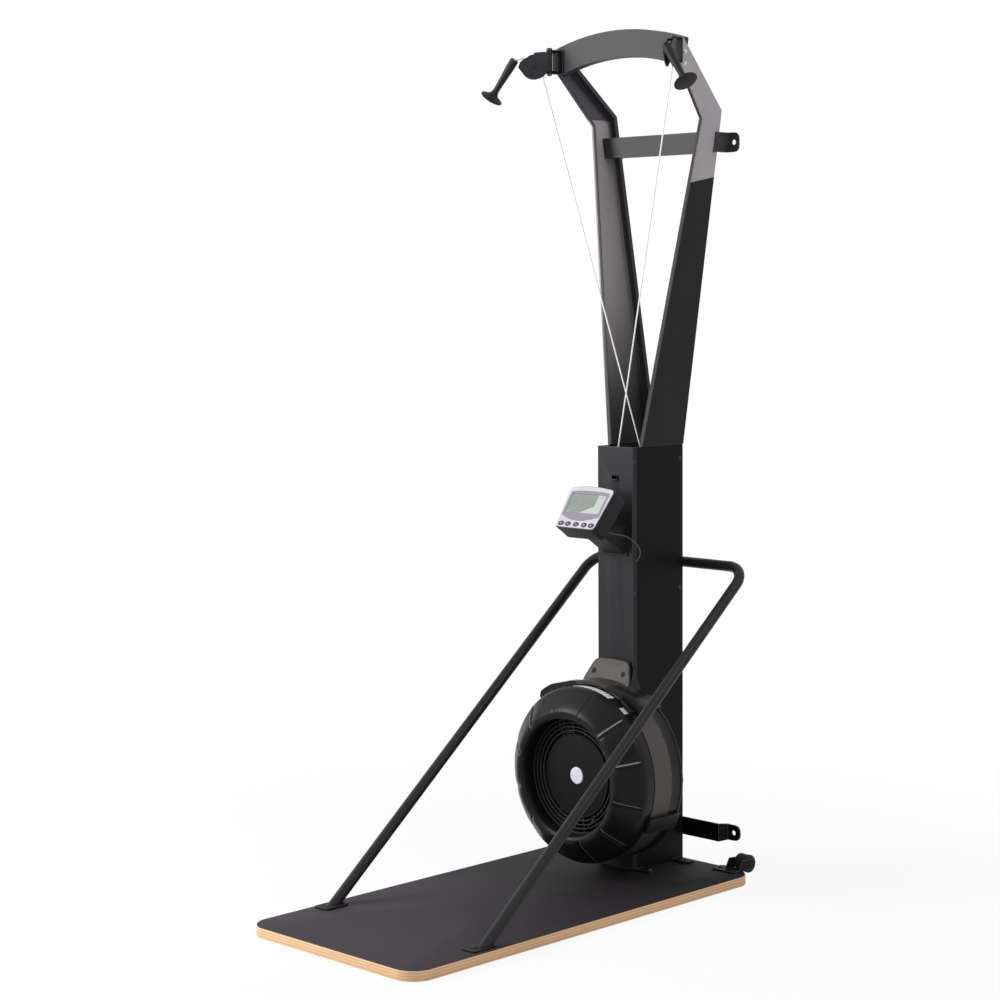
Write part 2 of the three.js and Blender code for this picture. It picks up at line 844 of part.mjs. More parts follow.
// A curved channel between the arm tops, with its ends against the webs.
function buildArchBar() {
  const centre = archTop - archRadius;
  const webInner = (height) => armHalfAt(height) - frameSheet / Math.cos(armSplayAngle) - seatGap;
  const band = (outer, inner) => {
    const shape = new THREE.Shape();
    shape.absarc(0, centre, outer, Math.PI / 2 - archHalfAngle, Math.PI / 2 + archHalfAngle, false);
    shape.absarc(0, centre, inner, Math.PI / 2 + archHalfAngle, Math.PI / 2 - archHalfAngle, true);
    shape.closePath();
    return shape;
  };
  const [low, high] = [archTop - archHeight * 2, archTop + cutOverrun];
  const between = (inset) => polygon([
    [-webInner(low) + inset, low], [webInner(low) - inset, low],
    [webInner(high) - inset, high], [-webInner(high) + inset, high],
  ]);
  const outer = common(plateXZ(band(archRadius, archRadius - archHeight), archFace, archBack, archSteps),
    plateXZ(between(0), archFace - cutOverrun, archBack + cutOverrun));
  const hollow = common(
    plateXZ(band(archRadius - frameSheet, archRadius - archHeight + frameSheet),
      archFace + frameSheet, archBack + cutOverrun, archSteps),
    plateXZ(between(frameSheet), archFace, archBack + 2 * cutOverrun));
  add('arch_bar', cut(outer, hollow), darkPowder);
}

// Wall fixing

function buildUpperWallBar() {
  const top = armFoot + armKinkRise - upperBarDrop;
  const bottom = top - upperBarHeight;
  const rear = columnBack - armKinkBack - armLip - frameSheet - 2 * seatGap;
  const front = rear - upperBarDepth;
  const inside = (height) => armHalfAt(height) - frameSheet / Math.cos(armSplayAngle) - seatGap;
  const outline = polygon([
    [-inside(bottom), bottom], [inside(bottom), bottom], [inside(top), top], [-inside(top), top],
  ]);
  const bore = block(-boardWidth / 2, boardWidth / 2, front + frameSheet, rear - frameSheet,
    bottom + frameSheet, top - frameSheet);
  add('upper_wall_bar', cut(plateXZ(outline, front, rear), bore), darkPowder);
}

// An angle bracket: one leg lies on the arm's outer face, and the other faces the wall.
function buildUpperEars() {
  const top = armFoot + armKinkRise - upperBarDrop;
  const bottom = top - upperEarHeight;
  const middle = (top + bottom) / 2;
  const outside = (height) => armHalfAt(height) + seatGap;
  const leg = plateXZ(polygon([
    [outside(bottom), bottom], [outside(bottom) + earThickness, bottom],
    [outside(top) + earThickness, top], [outside(top), top],
  ]), wallPlane - upperEarLeg, wallPlane);
  const tip = outside(middle) + upperEarReach;
  const round = upperEarHeight * upperEarCornerShare;
  const ear = plateXZ(rounded([
    [outside(bottom), bottom], [tip, bottom], [tip, top], [outside(top), top],
  ], [0, round, round, 0]), wallPlane - earThickness, wallPlane);
  const hole = turnedY(rodProfile(earHoleRadius, wallPlane - earThickness - cutOverrun,
    wallPlane + cutOverrun)).translate(tip - upperEarReach * upperEarHoleShare, 0, middle);
  const bolt = turnedX(headProfile(boltHeadRadius, boltHeadHeight), pinSides).rotateY(armSplayAngle)
    .translate(outside(middle) + earThickness, wallPlane - upperEarLeg * upperEarBoltShare, middle);
  const right = join(cut(join(leg, ear), hole), bolt);
  add('upper_wall_ear_right', right, blackPowder);
  add('upper_wall_ear_left', mirrored(right), blackPowder);
}

// A strap across the column's back whose ends step back to the wall.
function buildLowerWallBar() {
  const front = columnBack + seatGap;
  const back = front + lowerBarThickness;
  const earFront = wallPlane - lowerBarThickness;
  const step = (earFront - front) * lowerEarRunShare;
  const half = (near, far) => [
    [lowerBarHalf + near, front], [lowerBarHalf + step + near, earFront], [lowerEarHalf, earFront],
    [lowerEarHalf, wallPlane], [lowerBarHalf + step + far, wallPlane], [lowerBarHalf + far, back],
  ];
  const right = half(0, -lowerBarThickness / 2);
  const plan = polygon([...right, ...right.map(([x, y]) => [-x, y]).reverse()]);
  const [bottom, top] = [lowerBarCentre - lowerBarHeight / 2, lowerBarCentre + lowerBarHeight / 2];
  const strap = plateXY(plan, bottom, top);
  const earHalf = lowerEarHeight / 2;
  const face = (side) => [
    [side * lowerBarHalf, bottom], [side * (lowerBarHalf + step), lowerBarCentre - earHalf],
    [side * lowerEarHalf, lowerBarCentre - earHalf], [side * lowerEarHalf, lowerBarCentre + earHalf],
    [side * (lowerBarHalf + step), lowerBarCentre + earHalf], [side * lowerBarHalf, top],
  ];
  const round = earHalf * lowerEarRoundShare;
  const radii = [0, 0, round, round, 0, 0];
  const outline = rounded([...face(1), ...face(-1).reverse()], [...radii, ...radii]);
  const bar = common(strap, plateXZ(outline, front - cutOverrun, wallPlane + cutOverrun));
  const holes = [-1, 1].map((side) => turnedY(
    rodProfile(earHoleRadius, earFront - cutOverrun, wallPlane + cutOverrun))
    .translate(side * (lowerEarHalf - earHalf), 0, lowerBarCentre));
  add('lower_wall_bar', cut(bar, ...holes), blackPowder);
}

// Brace hoop. It passes behind the column and runs forward and down to the platform.

function hoopRun() {
  const crossY = columnBack + seatGap + hoopRadius;
  const drop = hoopHeight - deckTop;
  const forward = drop / Math.tan(hoopSlopeAngle);
  const low = [crossY - forward, deckTop];
  return { crossY, low };
}

function buildBraceHoop() {
  const { crossY, low } = hoopRun();
  const corners = [
    new THREE.Vector3(-hoopLegHalf, low[0], low[1]), new THREE.Vector3(-hoopLegHalf, crossY, hoopHeight),
    new THREE.Vector3(hoopLegHalf, crossY, hoopHeight), new THREE.Vector3(hoopLegHalf, low[0], low[1]),
  ];
  const whole = tube(bentRun(corners, hoopBendRadius, hoopBendSteps), hoopRadius, hoopSides);
  const plateTop = deckTop + footPlateThickness + seatGap;
  const under = block(-boardWidth, boardWidth, -boardLength, boardLength, -boardWidth, plateTop);
  add('brace_hoop', cut(whole, under), blackPowder);
}

function buildBraceFeet() {
  const { low } = hoopRun();
  const rear = low[0] + footPlateTail;
  const centreY = rear - footPlateLength / 2;
  const plate = plateXY(roundedBox(footPlateWidth / 2, footPlateLength / 2, footCornerRadius,
    hoopLegHalf - footPlateShift, centreY), deckTop, deckTop + footPlateThickness, 2);
  const bolt = turnedZ(headProfile(boltHeadRadius, boltHeadHeight), pinSides).translate(
    hoopLegHalf - footBoltShift, rear - footPlateLength + footBoltInset, deckTop + footPlateThickness);
  const right = join(plate, bolt);
  add('brace_foot_right', right, blackPowder);
  add('brace_foot_left', mirrored(right), blackPowder);
}

// Pulley heads. Inside a head's group the swivel axis is the origin and the head points along -Y.

function placedHead(side) {
  const group = new THREE.Group();
  group.position.set(side * swivelHalf, swivelAxis, swivelHeight);
  group.rotation.z = side * headTurnAngle;
  machine.add(group);
  return group;
}

function buildSwivelBracketGeometry() {
  const lugTop = [barrelTop + runningGap, barrelTop + runningGap + lugThickness];
  const lugLow = [barrelBottom - runningGap - lugThickness, barrelBottom - runningGap];
  const rear = swivelForward - seatGap;
  const plate = plateXZ(roundedBox(bracketPlateWidth / 2, (lugTop[1] - lugLow[0]) / 2, frameSheet,
    -lugRadius, (lugTop[1] + lugLow[0]) / 2), rear - bracketPlate, rear, 2);
  const parts = [plate];
  for (const [from, to] of [lugTop, lugLow]) {
    parts.push(block(-lugRadius, lugRadius * lugWebShare, 0, rear - bracketPlate / 2, from, to));
    parts.push(turnedZ(rodProfile(lugRadius, -to, -from)).rotateX(Math.PI));
  }
  const bore = turnedZ(rodProfile(boreFor(swivelPinRadius, pinSides), -2 * cheekRadius, 2 * cheekRadius),
    pinSides);
  return cut(join(...parts), bore).translate(swivelHalf, swivelAxis, swivelHeight);
}

function buildSwivelPinGeometry() {
  const top = barrelTop + runningGap + lugThickness + seatGap;
  const low = barrelBottom - runningGap - lugThickness - seatGap;
  const tail = pinHeadRadius * pinTailShare;
  const profile = [
    [0, low - pinHeadHeight], [tail, low - pinHeadHeight], [tail, low],
    [swivelPinRadius, low], [swivelPinRadius, top], [pinHeadRadius, top],
    [pinHeadRadius, top + pinHeadHeight * pinCrownShare],
    [pinHeadRadius * pinCrownShare, top + pinHeadHeight],
    [0, top + pinHeadHeight],
  ];
  return turnedZ(profile, pinSides).translate(swivelHalf, swivelAxis, swivelHeight);
}

// The cheek's outline, in reach forward of the swivel axis and height about the pulley's centre.
function cheekOutline() {
  const shape = new THREE.Shape();
  shape.moveTo(frameSheet, barrelBottom);
  shape.lineTo(frameSheet, barrelTop - cheekEase);
  shape.lineTo(sheaveReach * cheekShoulderShare, barrelTop + cheekThickness);
  const scaled = ([reach, rise]) => [sheaveReach * reach, cheekRadius * rise];
  shape.quadraticCurveTo(...scaled(cheekCrownShares), ...scaled(cheekNoseShares));
  shape.lineTo(...scaled(cheekLipShares));
  const [start, end] = cheekRoundAngles;
  shape.lineTo(sheaveReach + cheekRadius * Math.cos(start), cheekRadius * Math.sin(start));
  shape.absarc(sheaveReach, 0, cheekRadius, start, end, true);
  shape.closePath();
  return shape;
}

// Turns a plate drawn in reach and height so that reach runs along -Y.
function cheekPlate(outline, x0, x1) {
  return plateYZ(outline, -x1, -x0, cheekSteps).rotateZ(Math.PI);
}

function buildHeadGeometry() {
  const outline = cheekOutline();
  const cheeks = [-1, 1].map((side) => {
    const [near, far] = [cheekHalf - cheekThickness, cheekHalf];
    return side > 0 ? cheekPlate(outline, near, far) : cheekPlate(outline, -far, -near);
  });
  const roofTop = [
    [0, barrelTop - cheekEase], [sheaveReach * cheekShoulderShare, barrelTop + cheekThickness],
    [sheaveReach, cheekRadius * cheekRoofShare],
  ];
  const roofHalf = cheekHalf - cheekEase;
  const roof = cheekPlate(strip(roofTop, -cheekThickness), -roofHalf, roofHalf);
  const barrel = turnedZ(rodProfile(barrelRadius, barrelBottom, barrelTop), axleSides);
  const pin = turnedX(rodProfile(sheavePinRadius, -cheekHalf, cheekHalf), pinSides);
  const [near, far] = [cheekHalf - fuseDepth, cheekHalf + cheekThickness];
  const head = turnedX(rodProfile(sheavePinRadius * hubShare, near, far), pinSides);
  const tail = turnedX(rodProfile(sheavePinRadius * hubShare, -far, -near), pinSides);
  for (const piece of [pin, head, tail]) piece.translate(0, -sheaveReach, 0);
  const bore = turnedZ(rodProfile(boreFor(swivelPinRadius, pinSides), -2 * cheekRadius, 2 * cheekRadius),
    pinSides);
  const notch = lugRadius + lugRoom;
  const above = turnedZ(rodProfile(notch, barrelTop, 2 * cheekRadius));
  const below = turnedZ(rodProfile(notch, -2 * cheekRadius, barrelBottom));
  return cut(join(barrel, ...cheeks, roof, pin, head, tail), bore, above, below);
}

function buildSheaveGeometry() {
  const half = sheaveHalfWidth;
  const bore = boreFor(sheavePinRadius, sheaveSides);
  return turnedX([
    [bore, -half], [sheaveRadius, -half], [sheaveRadius, -half * sheaveRimShare],
    [sheaveGrooveRadius, -ropeRadius], [sheaveGrooveRadius, ropeRadius],
    [sheaveRadius, half * sheaveRimShare], [sheaveRadius, half], [bore, half], [bore, -half],
  ], sheaveSides).translate(0, -sheaveReach, 0);
}

// The rope over a head pulley: up behind it, over the top and out to the handle.
function headRopeStations() {
  const wrap = sheaveGrooveRadius + runningGap + ropeRadius;
  const [dx, dz] = [headRopeReach - sheaveReach, headRopeRise];
  const leave = Math.atan2(dz, dx) + Math.acos(wrap / Math.hypot(dx, dz));
  const stations = [new THREE.Vector3(0, -(sheaveReach - wrap), -headRopeTail)];
  for (let i = 0; i <= headRopeSteps; i += 1) {
    const angle = Math.PI + (leave - Math.PI) * (i / headRopeSteps);
    const reach = sheaveReach + wrap * Math.cos(angle);
    stations.push(new THREE.Vector3(0, -reach, wrap * Math.sin(angle)));
  }
  stations.push(new THREE.Vector3(0, -headRopeReach, headRopeRise));
  return stations;
}

function handleGeometry() {
  const profile = handleShares.map(([wide, long]) => [handleFlareRadius * wide, handleLength * long]);
  return turnedZ(profile, handleSides).rotateX(Math.PI);
}

function handleTopPoint() {
  const reach = handleReach;
  return new THREE.Vector3(
    swivelHalf + reach * Math.sin(headTurnAngle),
    swivelAxis - reach * Math.cos(headTurnAngle),
    swivelHeight + headRopeRise);
}

function buildPulleyHeads() {
  const bracket = buildSwivelBracketGeometry();
  const pin = buildSwivelPinGeometry();
  const head = buildHeadGeometry();
  const sheave = buildSheaveGeometry();
  const wrap = tube(headRopeStations(), ropeRadius, ropeSides);
  for (const [side, word] of [[-1, 'left'], [1, 'right']]) {
    add(`swivel_bracket_${word}`, side < 0 ? mirrored(bracket) : bracket, blackPowder);
    add(`swivel_pin_${word}`, side < 0 ? mirrored(pin) : pin, zincSteel);
    const group = placedHead(side);
    add(`pulley_head_${word}`, head, polymer, group);
    add(`head_pulley_${word}`, sheave, polymer, group);
    add(`head_rope_${word}`, wrap, rope, group);
    const handle = add(`handle_${word}`, handleGeometry(), mattBlack);
    const place = handleTopPoint();
    handle.position.set(side * place.x, place.y, place.z);
    const [lx, ly, lz] = handleLeanShares;
    handle.quaternion.setFromUnitVectors(
      new THREE.Vector3(0, 0, -1), new THREE.Vector3(side * lx, ly, lz).normalize());
  }
}

// Drive inside the column. The right rope uses the front spool, and the left rope the rear one.

const spoolFront = lipFront + frameSheet + housingWidth + spoolStandoff;
const ropePlaneRight = spoolFront + spoolFlange + spoolGroove / 2;
const ropePlaneLeft = ropePlaneRight + spoolSpacing;
const cordStep = spoolGroove + spoolFlange;
const guidePlateTop = guideHeight - guidePlateDrop;
const guidePlateBottom = guidePlateTop - guidePlateThickness;

function buildGuide() {
  const inner = columnInnerHalf - seatGap;
  const margin = guideHalfWidth + frameSheet + seatGap;
  const earFront = [ropePlaneRight - margin, ropePlaneRight - guideHalfWidth - seatGap];
  const earRear = [ropePlaneLeft + guideHalfWidth + seatGap, ropePlaneLeft + margin];
  const plateRear = ropePlaneLeft + cordStep + 2 * spoolGroove;
  const plate = block(-inner, inner, earFront[0], plateRear, guidePlateBottom, guidePlateTop);
  const tabs = [-1, 1].map((side) => {
    const [near, far] = [inner - guidePlateThickness, inner];
    const [x0, x1] = side > 0 ? [near, far] : [-far, -near];
    return block(x0, x1, earFront[0], plateRear, guidePlateBottom - guideTabDrop, guidePlateTop);
  });
  const round = guideEarRise * guideEarRoundShare;
  const ear = ([from, to]) => plateXZ(rounded([
    [-guideRimRadius, guidePlateBottom], [guideRimRadius, guidePlateBottom],
    [guideEarRise, guideHeight + guideEarRise], [-guideEarRise, guideHeight + guideEarRise],
  ], [0, 0, round, round]), from, to, 2);
  const rod = rodProfile(guideAxleRadius, earFront[0] - frameSheet, earRear[1] + frameSheet);
  const axle = turnedY(rod, pinSides).translate(0, 0, guideHeight);
  const collar = turnedY(rodProfile(guideAxleRadius * hubShare, ropePlaneRight + guideHalfWidth + seatGap,
    ropePlaneLeft - guideHalfWidth - seatGap), pinSides).translate(0, 0, guideHeight);
  const body = join(plate, ...tabs, ear(earFront), ear(earRear), axle, collar);
  const holes = [[-guideRadius, ropePlaneRight], [guideRadius, ropePlaneLeft]].map(([x, y]) => turnedZ(
    rodProfile(ropeHoleRadius, -guidePlateTop - cutOverrun, -guidePlateBottom + cutOverrun), pinSides)
    .rotateX(Math.PI).translate(x, y, 0));
  add('guide_bracket', cut(body, ...holes), zincSteel);
  const groove = guideRadius - ropeRadius - runningGap;
  const half = guideHalfWidth;
  for (const [word, plane] of [['right', ropePlaneRight], ['left', ropePlaneLeft]]) {
    const bore = boreFor(guideAxleRadius, guideSides);
    const wheel = turnedY([
      [bore, -half], [guideRimRadius, -half], [guideRimRadius, -half * guideRimShare], [groove, -ropeRadius],
      [groove, ropeRadius], [guideRimRadius, half * guideRimShare], [guideRimRadius, half], [bore, half],
      [bore, -half],
    ], guideSides);
    add(`guide_pulley_${word}`, wheel.translate(0, plane, guideHeight), polymer);
  }
}

function spoolGeometry() {
  const bore = boreFor(axleRadius, spoolSides);
  const ropeCore = spoolRopeRadius - ropeRadius - runningGap;
  const cordCore = spoolCordRadius - cordRadius - runningGap;
  const steps = [spoolFlange, spoolGroove, spoolFlange, spoolGroove, spoolFlange];
  const radii = [spoolFlangeRadius, ropeCore, spoolFlangeRadius, cordCore, spoolFlangeRadius];
  const profile = [[bore, 0]];
  let at = 0;
  steps.forEach((width, i) => {
    profile.push([radii[i], at], [radii[i], at + width]);
    at += width;
  });
  profile.push([bore, at], [bore, 0]);
  return turnedY(profile, spoolSides);
}

function buildSpools() {
  const first = spoolFront;
  add('drive_spool_right', spoolGeometry().translate(0, first, fanHeight), polymer);
  add('drive_spool_left', spoolGeometry().translate(0, first + spoolSpacing, fanHeight), polymer);
  for (const [word, plane] of [['right', ropePlaneRight], ['left', ropePlaneLeft]]) {
    const y = plane + cordStep;
    const low = new THREE.Vector3(spoolCordRadius, y, fanHeight);
    const high = new THREE.Vector3(cordAnchorHalf, y, guidePlateBottom - seatGap);
    add(`return_cord_${word}`, tube([low, high], cordRadius, ropeSides), rubber);
  }
}

// Stations where a rope turns on a pulley in an XZ plane, from one angle to another.
function arcStations(centreX, plane, centreZ, radius, from, to, steps) {
  const stations = [];
  for (let i = 0; i <= steps; i += 1) {
    const angle = from + (to - from) * (i / steps);
    const [x, z] = [centreX + radius * Math.cos(angle), centreZ + radius * Math.sin(angle)];
    stations.push(new THREE.Vector3(x, plane, z));
  }
  return stations;
}

function buildDriveRopes() {
  const reach = sheaveReach - sheaveGrooveRadius - runningGap - ropeRadius;
  const topX = swivelHalf + reach * Math.sin(headTurnAngle);
  const topY = swivelAxis - reach * Math.cos(headTurnAngle);
  const topZ = swivelHeight - headRopeTail - seatGap - ropeEndSlack;
  const lean = Math.atan2(topX + guideRadius, topZ - guideHeight);
  const rightStations = [
    new THREE.Vector3(topX, topY, topZ),
    ...arcStations(0, ropePlaneRight, guideHeight, guideRadius, Math.PI - lean, Math.PI, 2),
    new THREE.Vector3(-spoolRopeRadius, ropePlaneRight, fanHeight),
  ];
  add('drive_rope_right', tube(rightStations, ropeRadius, ropeSides), rope);
  const drop = guideHeight - fanHeight;
  const slant = Math.asin((guideRadius + spoolRopeRadius) / drop);
  const leftStations = [
    new THREE.Vector3(-topX, topY, topZ),
    ...arcStations(0, ropePlaneLeft, guideHeight, guideRadius, lean, -slant, 3),
    new THREE.Vector3(-spoolRopeRadius * Math.cos(slant), ropePlaneLeft,
      fanHeight + spoolRopeRadius * Math.sin(slant)),
  ];
  add('drive_rope_left', tube(leftStations, ropeRadius, ropeSides), rope);
}

function buildDrivePlate() {
  const front = lipFront + frameSheet + seatGap;
  const inner = columnInnerHalf - seatGap;
  const half = drivePlateHeight / 2;
  const plate = block(-inner, inner, front, front + frameSheet, fanHeight - half, fanHeight + half);
  const folds = [-1, 1].map((side) => {
    const [x0, x1] = side > 0 ? [inner - frameSheet, inner] : [-inner, -inner + frameSheet];
    return block(x0, x1, front, front + housingWidth, fanHeight - half, fanHeight + half);
  });
  const housing = turnedY(rodProfile(housingRadius, front, front + housingWidth), axleSides)
    .translate(0, 0, fanHeight);
  const seat = turnedY(rodProfile(bearingRadius + seatGap, front - cutOverrun,
    front + housingWidth + cutOverrun), axleSides).translate(0, 0, fanHeight);
  add('drive_plate', cut(join(plate, ...folds, housing), seat), zincSteel);
  const bearing = (from) => turnedY(
    ringProfile(boreFor(axleRadius, axleSides), bearingRadius, from, from + bearingWidth), axleSides)
    .translate(0, 0, fanHeight);
  add('front_bearing', bearing(front + bearingInset), zincSteel);
  const rearFrom = columnBack - frameSheet - housingWidth;
  add('rear_bearing', bearing(rearFrom + bearingInset), zincSteel);
}

// Fan. Everything here turns about a line along Y through the fan's centre.

function atFan(geometry) {
  return geometry.translate(0, 0, fanHeight);
}

function ovalPoint(shrink, angle) {
  const centre = fanRadius - fanBulgeWidth;
  const radius = centre + (fanBulgeWidth - shrink) * Math.cos(angle);
  const y = fanBulgeY - (fanBulgeY - fanFrontY - shrink) * Math.sin(angle);
  return [radius, y];
}

// Points along the oval, evenly spaced in angle.
function ovalRun(shrink, from, to, steps) {
  return Array.from({ length: steps + 1 }, (_, i) => ovalPoint(shrink, from + ((to - from) * i) / steps));
}

// Each crease is a shallow slot down the middle of one flat of the shell. Its floor follows the oval at
// a constant depth, and it starts and ends on corners of the outer curve.
function creaseTool() {
  const step = bulgeSweepAngle / bulgeSteps;
  const [from, to] = [step * creaseFirstStep, step * (creaseFirstStep + creaseSteps)];
  const flat = Math.cos(Math.PI / fanSides);
  const run = (shrink) => ovalRun(shrink, from, to, creaseSteps).map(([radius, y]) => [radius * flat, y]);
  return plateXY(polygon([...run(creaseDepth), ...run(-cutOverrun).reverse()]), -creaseWidth / 2,
    creaseWidth / 2);
}

function buildFanFrontShell() {
  const outer = ovalRun(0, 0, bulgeSweepAngle, bulgeSteps);
  const inner = ovalRun(fanShell, 0, bulgeSweepAngle, bulgeSteps);
  const lip = fanOpeningRadius;
  const profile = [
    [fanRadius, fanFrontEdge], ...outer, [lip, fanOpeningDepth], [lip + fanShell, fanOpeningDepth],
    ...inner.reverse(), [fanRadius - fanShell, fanFrontEdge], [fanRadius, fanFrontEdge],
  ];
  const shell = turnedY(profile, fanSides);
  const creases = Array.from({ length: creaseCount }, (_, i) => creaseTool()
    .rotateY(((i + 1 / 2) / creaseCount) * 2 * Math.PI));
  add('fan_front_shell', atFan(cut(shell, ...creases)), glossBlack);
}

function buildFanGrille() {
  const back = discFace + grilleRingDepth;
  const rimRadius = fanOpeningRadius - seatGap;
  const pitch = (rimRadius - discRadius) / grilleRings;
  const disc = turnedY([
    [0, discFace], [discRadius, discFace], [discRadius, back], [discRadius - grilleRingWidth, back],
    [discRadius - grilleRingWidth, discFace + discThickness], [0, discFace + discThickness],
  ], grilleSides);
  const parts = [disc];
  for (let i = 1; i <= grilleRings; i += 1) {
    const outer = discRadius + pitch * i;
    const front = discFace - grilleRingStep * i;
    const sides = i < grilleRings ? grilleSides : fanSides;
    parts.push(turnedY(ringProfile(outer - grilleRingWidth, outer, front, back), sides));
  }
  for (let i = 0; i < grilleSpokes; i += 1) {
    const spoke = block(discRadius - grilleRingWidth, rimRadius - grilleRingWidth / 2,
      back - discThickness, back, -grilleSpokeWidth / 2, grilleSpokeWidth / 2);
    parts.push(spoke.rotateY((i / grilleSpokes) * 2 * Math.PI - grilleSpokeAngle));
  }
  add('fan_grille', atFan(join(...parts)), mattBlack);
  const seat = discFace - seatGap;
  const cap = turnedY([
    [0, seat - capThickness], [capRadius * capFaceShare, seat - capThickness],
    [capRadius, seat - capThickness / 2], [capRadius, seat], [0, seat],
  ], capSides);
  add('fan_centre_cap', atFan(cap), capWhite);
}

// A wedge that opens upward from the fan's centre, used to part the top of a ring from the rest.
function topWedge(halfAngle, y0, y1) {
  const reach = 2 * fanRadius;
  return plateXZ(polygon([
    [0, 0], [reach * Math.sin(halfAngle), reach * Math.cos(halfAngle)], [0, reach],
    [-reach * Math.sin(halfAngle), reach * Math.cos(halfAngle)],
  ]), y0, y1);
}

function buildFanMeshBand() {
  const outer = fanRadius - fanShell + meshThickness;
  const [front, back] = [fanFrontEdge + seatGap, fanRearEdge - seatGap];
  const ring = turnedY(ringProfile(outer - meshThickness, outer, front, back), fanSides);
  const gap = topWedge(hoodHalfAngle, front - cutOverrun, back + cutOverrun);
  add('fan_mesh_band', atFan(cut(ring, gap)), meshSteel);
}

// A strap over the mesh, rooted in the rear shell's wall. It clears the front shell by its lift.
function bridge(angle) {
  const [low, high] = [fanRadius + bridgeLift, fanRadius + bridgeHeight];
  const back = columnFront - seatGap;
  const half = bridgeWidth / 2;
  const round = half * bridgeRoundShare;
  const top = rounded([
    [-half, bridgeFront], [half, bridgeFront], [half, back], [-half, back],
  ], [round, round, 0, 0]);
  const strap = plateXY(top, low, high, 2);
  const root = block(-half + bridgeInset, half - bridgeInset, fanRearEdge + fanShell, back,
    fanRadius - fanShell / 2, high - bridgeInset);
  return [strap, root].map((piece) => piece.rotateY(Math.PI / 2 - angle));
}

function neckGeometry() {
  const back = columnFront - seatGap;
  const side = new THREE.Shape();
  side.moveTo(back, neckTop);
  side.lineTo(back - neckStep, neckTop);
  side.quadraticCurveTo(neckFront + neckCrown, neckTop - fanShell,
    neckFront + neckStep, neckBoltHeight);
  side.lineTo(neckFront, neckBottom + neckSkirt);
  side.lineTo(neckFront, neckBottom);
  side.lineTo(back, neckBottom);
  side.closePath();
  const face = rounded([
    [-neckBottomHalf, neckBottom], [neckBottomHalf, neckBottom],
    [neckBottomHalf, neckBottom + neckSkirt], [neckTopHalf, neckTop], [-neckTopHalf, neckTop],
    [-neckBottomHalf, neckBottom + neckSkirt],
  ], [0, 0, neckStep, neckCorner, neckCorner, neckStep]);
  const solid = common(plateYZ(side, -neckBottomHalf, neckBottomHalf, 3),
    plateXZ(face, neckFront - cutOverrun, back, 2));
  const holes = [-1, 1].map((sign) => turnedY(
    rodProfile(neckBoltRadius, neckFront - cutOverrun, neckFront + neckHoleDepth), pinSides)
    .translate(sign * neckBoltHalf, 0, neckBoltHeight));
  return cut(solid, ...holes).translate(0, 0, -fanHeight);
}

function buildFanRearShell() {
  const back = columnFront - seatGap;
  const [outer, inner] = [fanRadius, fanRadius - fanShell];
  const tub = turnedY([
    [inner, fanRearEdge], [outer, fanRearEdge], [outer, back - shellRim],
    [outer + fanShell, back - shellRim], [outer + fanShell, back], [shaftHoleRadius, back],
    [shaftHoleRadius, back - backPlate], [inner, back - backPlate], [inner, fanRearEdge],
  ], fanSides);
  const hood = common(turnedY(ringProfile(inner, outer, hoodFront, fanRearEdge + fanShell), fanSides),
    topWedge(hoodHalfAngle, hoodFront - cutOverrun, fanRearEdge + 2 * fanShell));
  const inside = turnedY(rodProfile(inner, hoodFront - cutOverrun, back - backPlate), fanSides);
  const neck = cut(neckGeometry(), inside);
  const bridges = bridgeAngles.flatMap(bridge);
  add('fan_rear_shell', atFan(join(tub, hood, neck, ...bridges)), glossBlack);
}

// A turning sleeve under the mesh, with windows and a lever at the top.
function buildDamper() {
  const inner = damperRadius - damperSheet;
  const sleeve = turnedY(ringProfile(inner, damperRadius, damperFront, damperBack), damperSides);
  const window = (i) => block(inner - cutOverrun, damperRadius + cutOverrun,
    damperFront + damperRim, fanRearEdge - damperRim / 2, -damperWindow / 2, damperWindow / 2)
    .rotateY(((i + damperPhaseShare) / damperWindows) * 2 * Math.PI);
  const windows = Array.from({ length: damperWindows }, (_, i) => window(i));
  const lever = block(inner - fuseDepth, damperLeverReach, damperFront,
    damperFront + damperLeverThickness, -damperLeverWidth / 2, damperLeverWidth / 2)
    .rotateY(-damperLeverAngle);
  add('damper_ring', atFan(join(cut(sleeve, ...windows), lever)), mattBlack);
}

function buildImpeller() {
  const bore = axleRadius + seatGap;
  const disc = turnedY(ringProfile(bore, impellerRadius, impellerBack - impellerDisc, impellerBack),
    impellerSides);
  const hub = turnedY(ringProfile(bore, impellerHubRadius, impellerHubFront, impellerBack), roundSides);
  const ring = turnedY(ringProfile(impellerRadius - impellerRim, impellerRadius, impellerFront - impellerDisc,
    impellerFront), impellerSides);
  const blades = [];
  for (let i = 0; i < impellerBlades; i += 1) {
    const chord = (impellerRadius - impellerInner) / Math.cos(bladeRakeAngle);
    const blade = block(-chord * bladeReachShare, 0, impellerFront - impellerDisc / 2,
      impellerBack - impellerDisc / 2, -impellerBladeThickness / 2, impellerBladeThickness / 2);
    blade.rotateY(bladeRakeAngle).translate(impellerRadius - impellerRim / 2, 0, 0);
    blades.push(blade.rotateY((i / impellerBlades) * 2 * Math.PI));
  }
  add('fan_impeller', atFan(join(disc, hub, ring, ...blades)), meshSteel);
  const rear = columnBack - frameSheet - seatGap * 2;
  add('fan_axle', atFan(turnedY(rodProfile(axleRadius, axleFront, rear), axleSides)), zincSteel);
}

// Console. Inside its group the face lies in the XY plane, +Z leaves the face, and +Y runs up it.

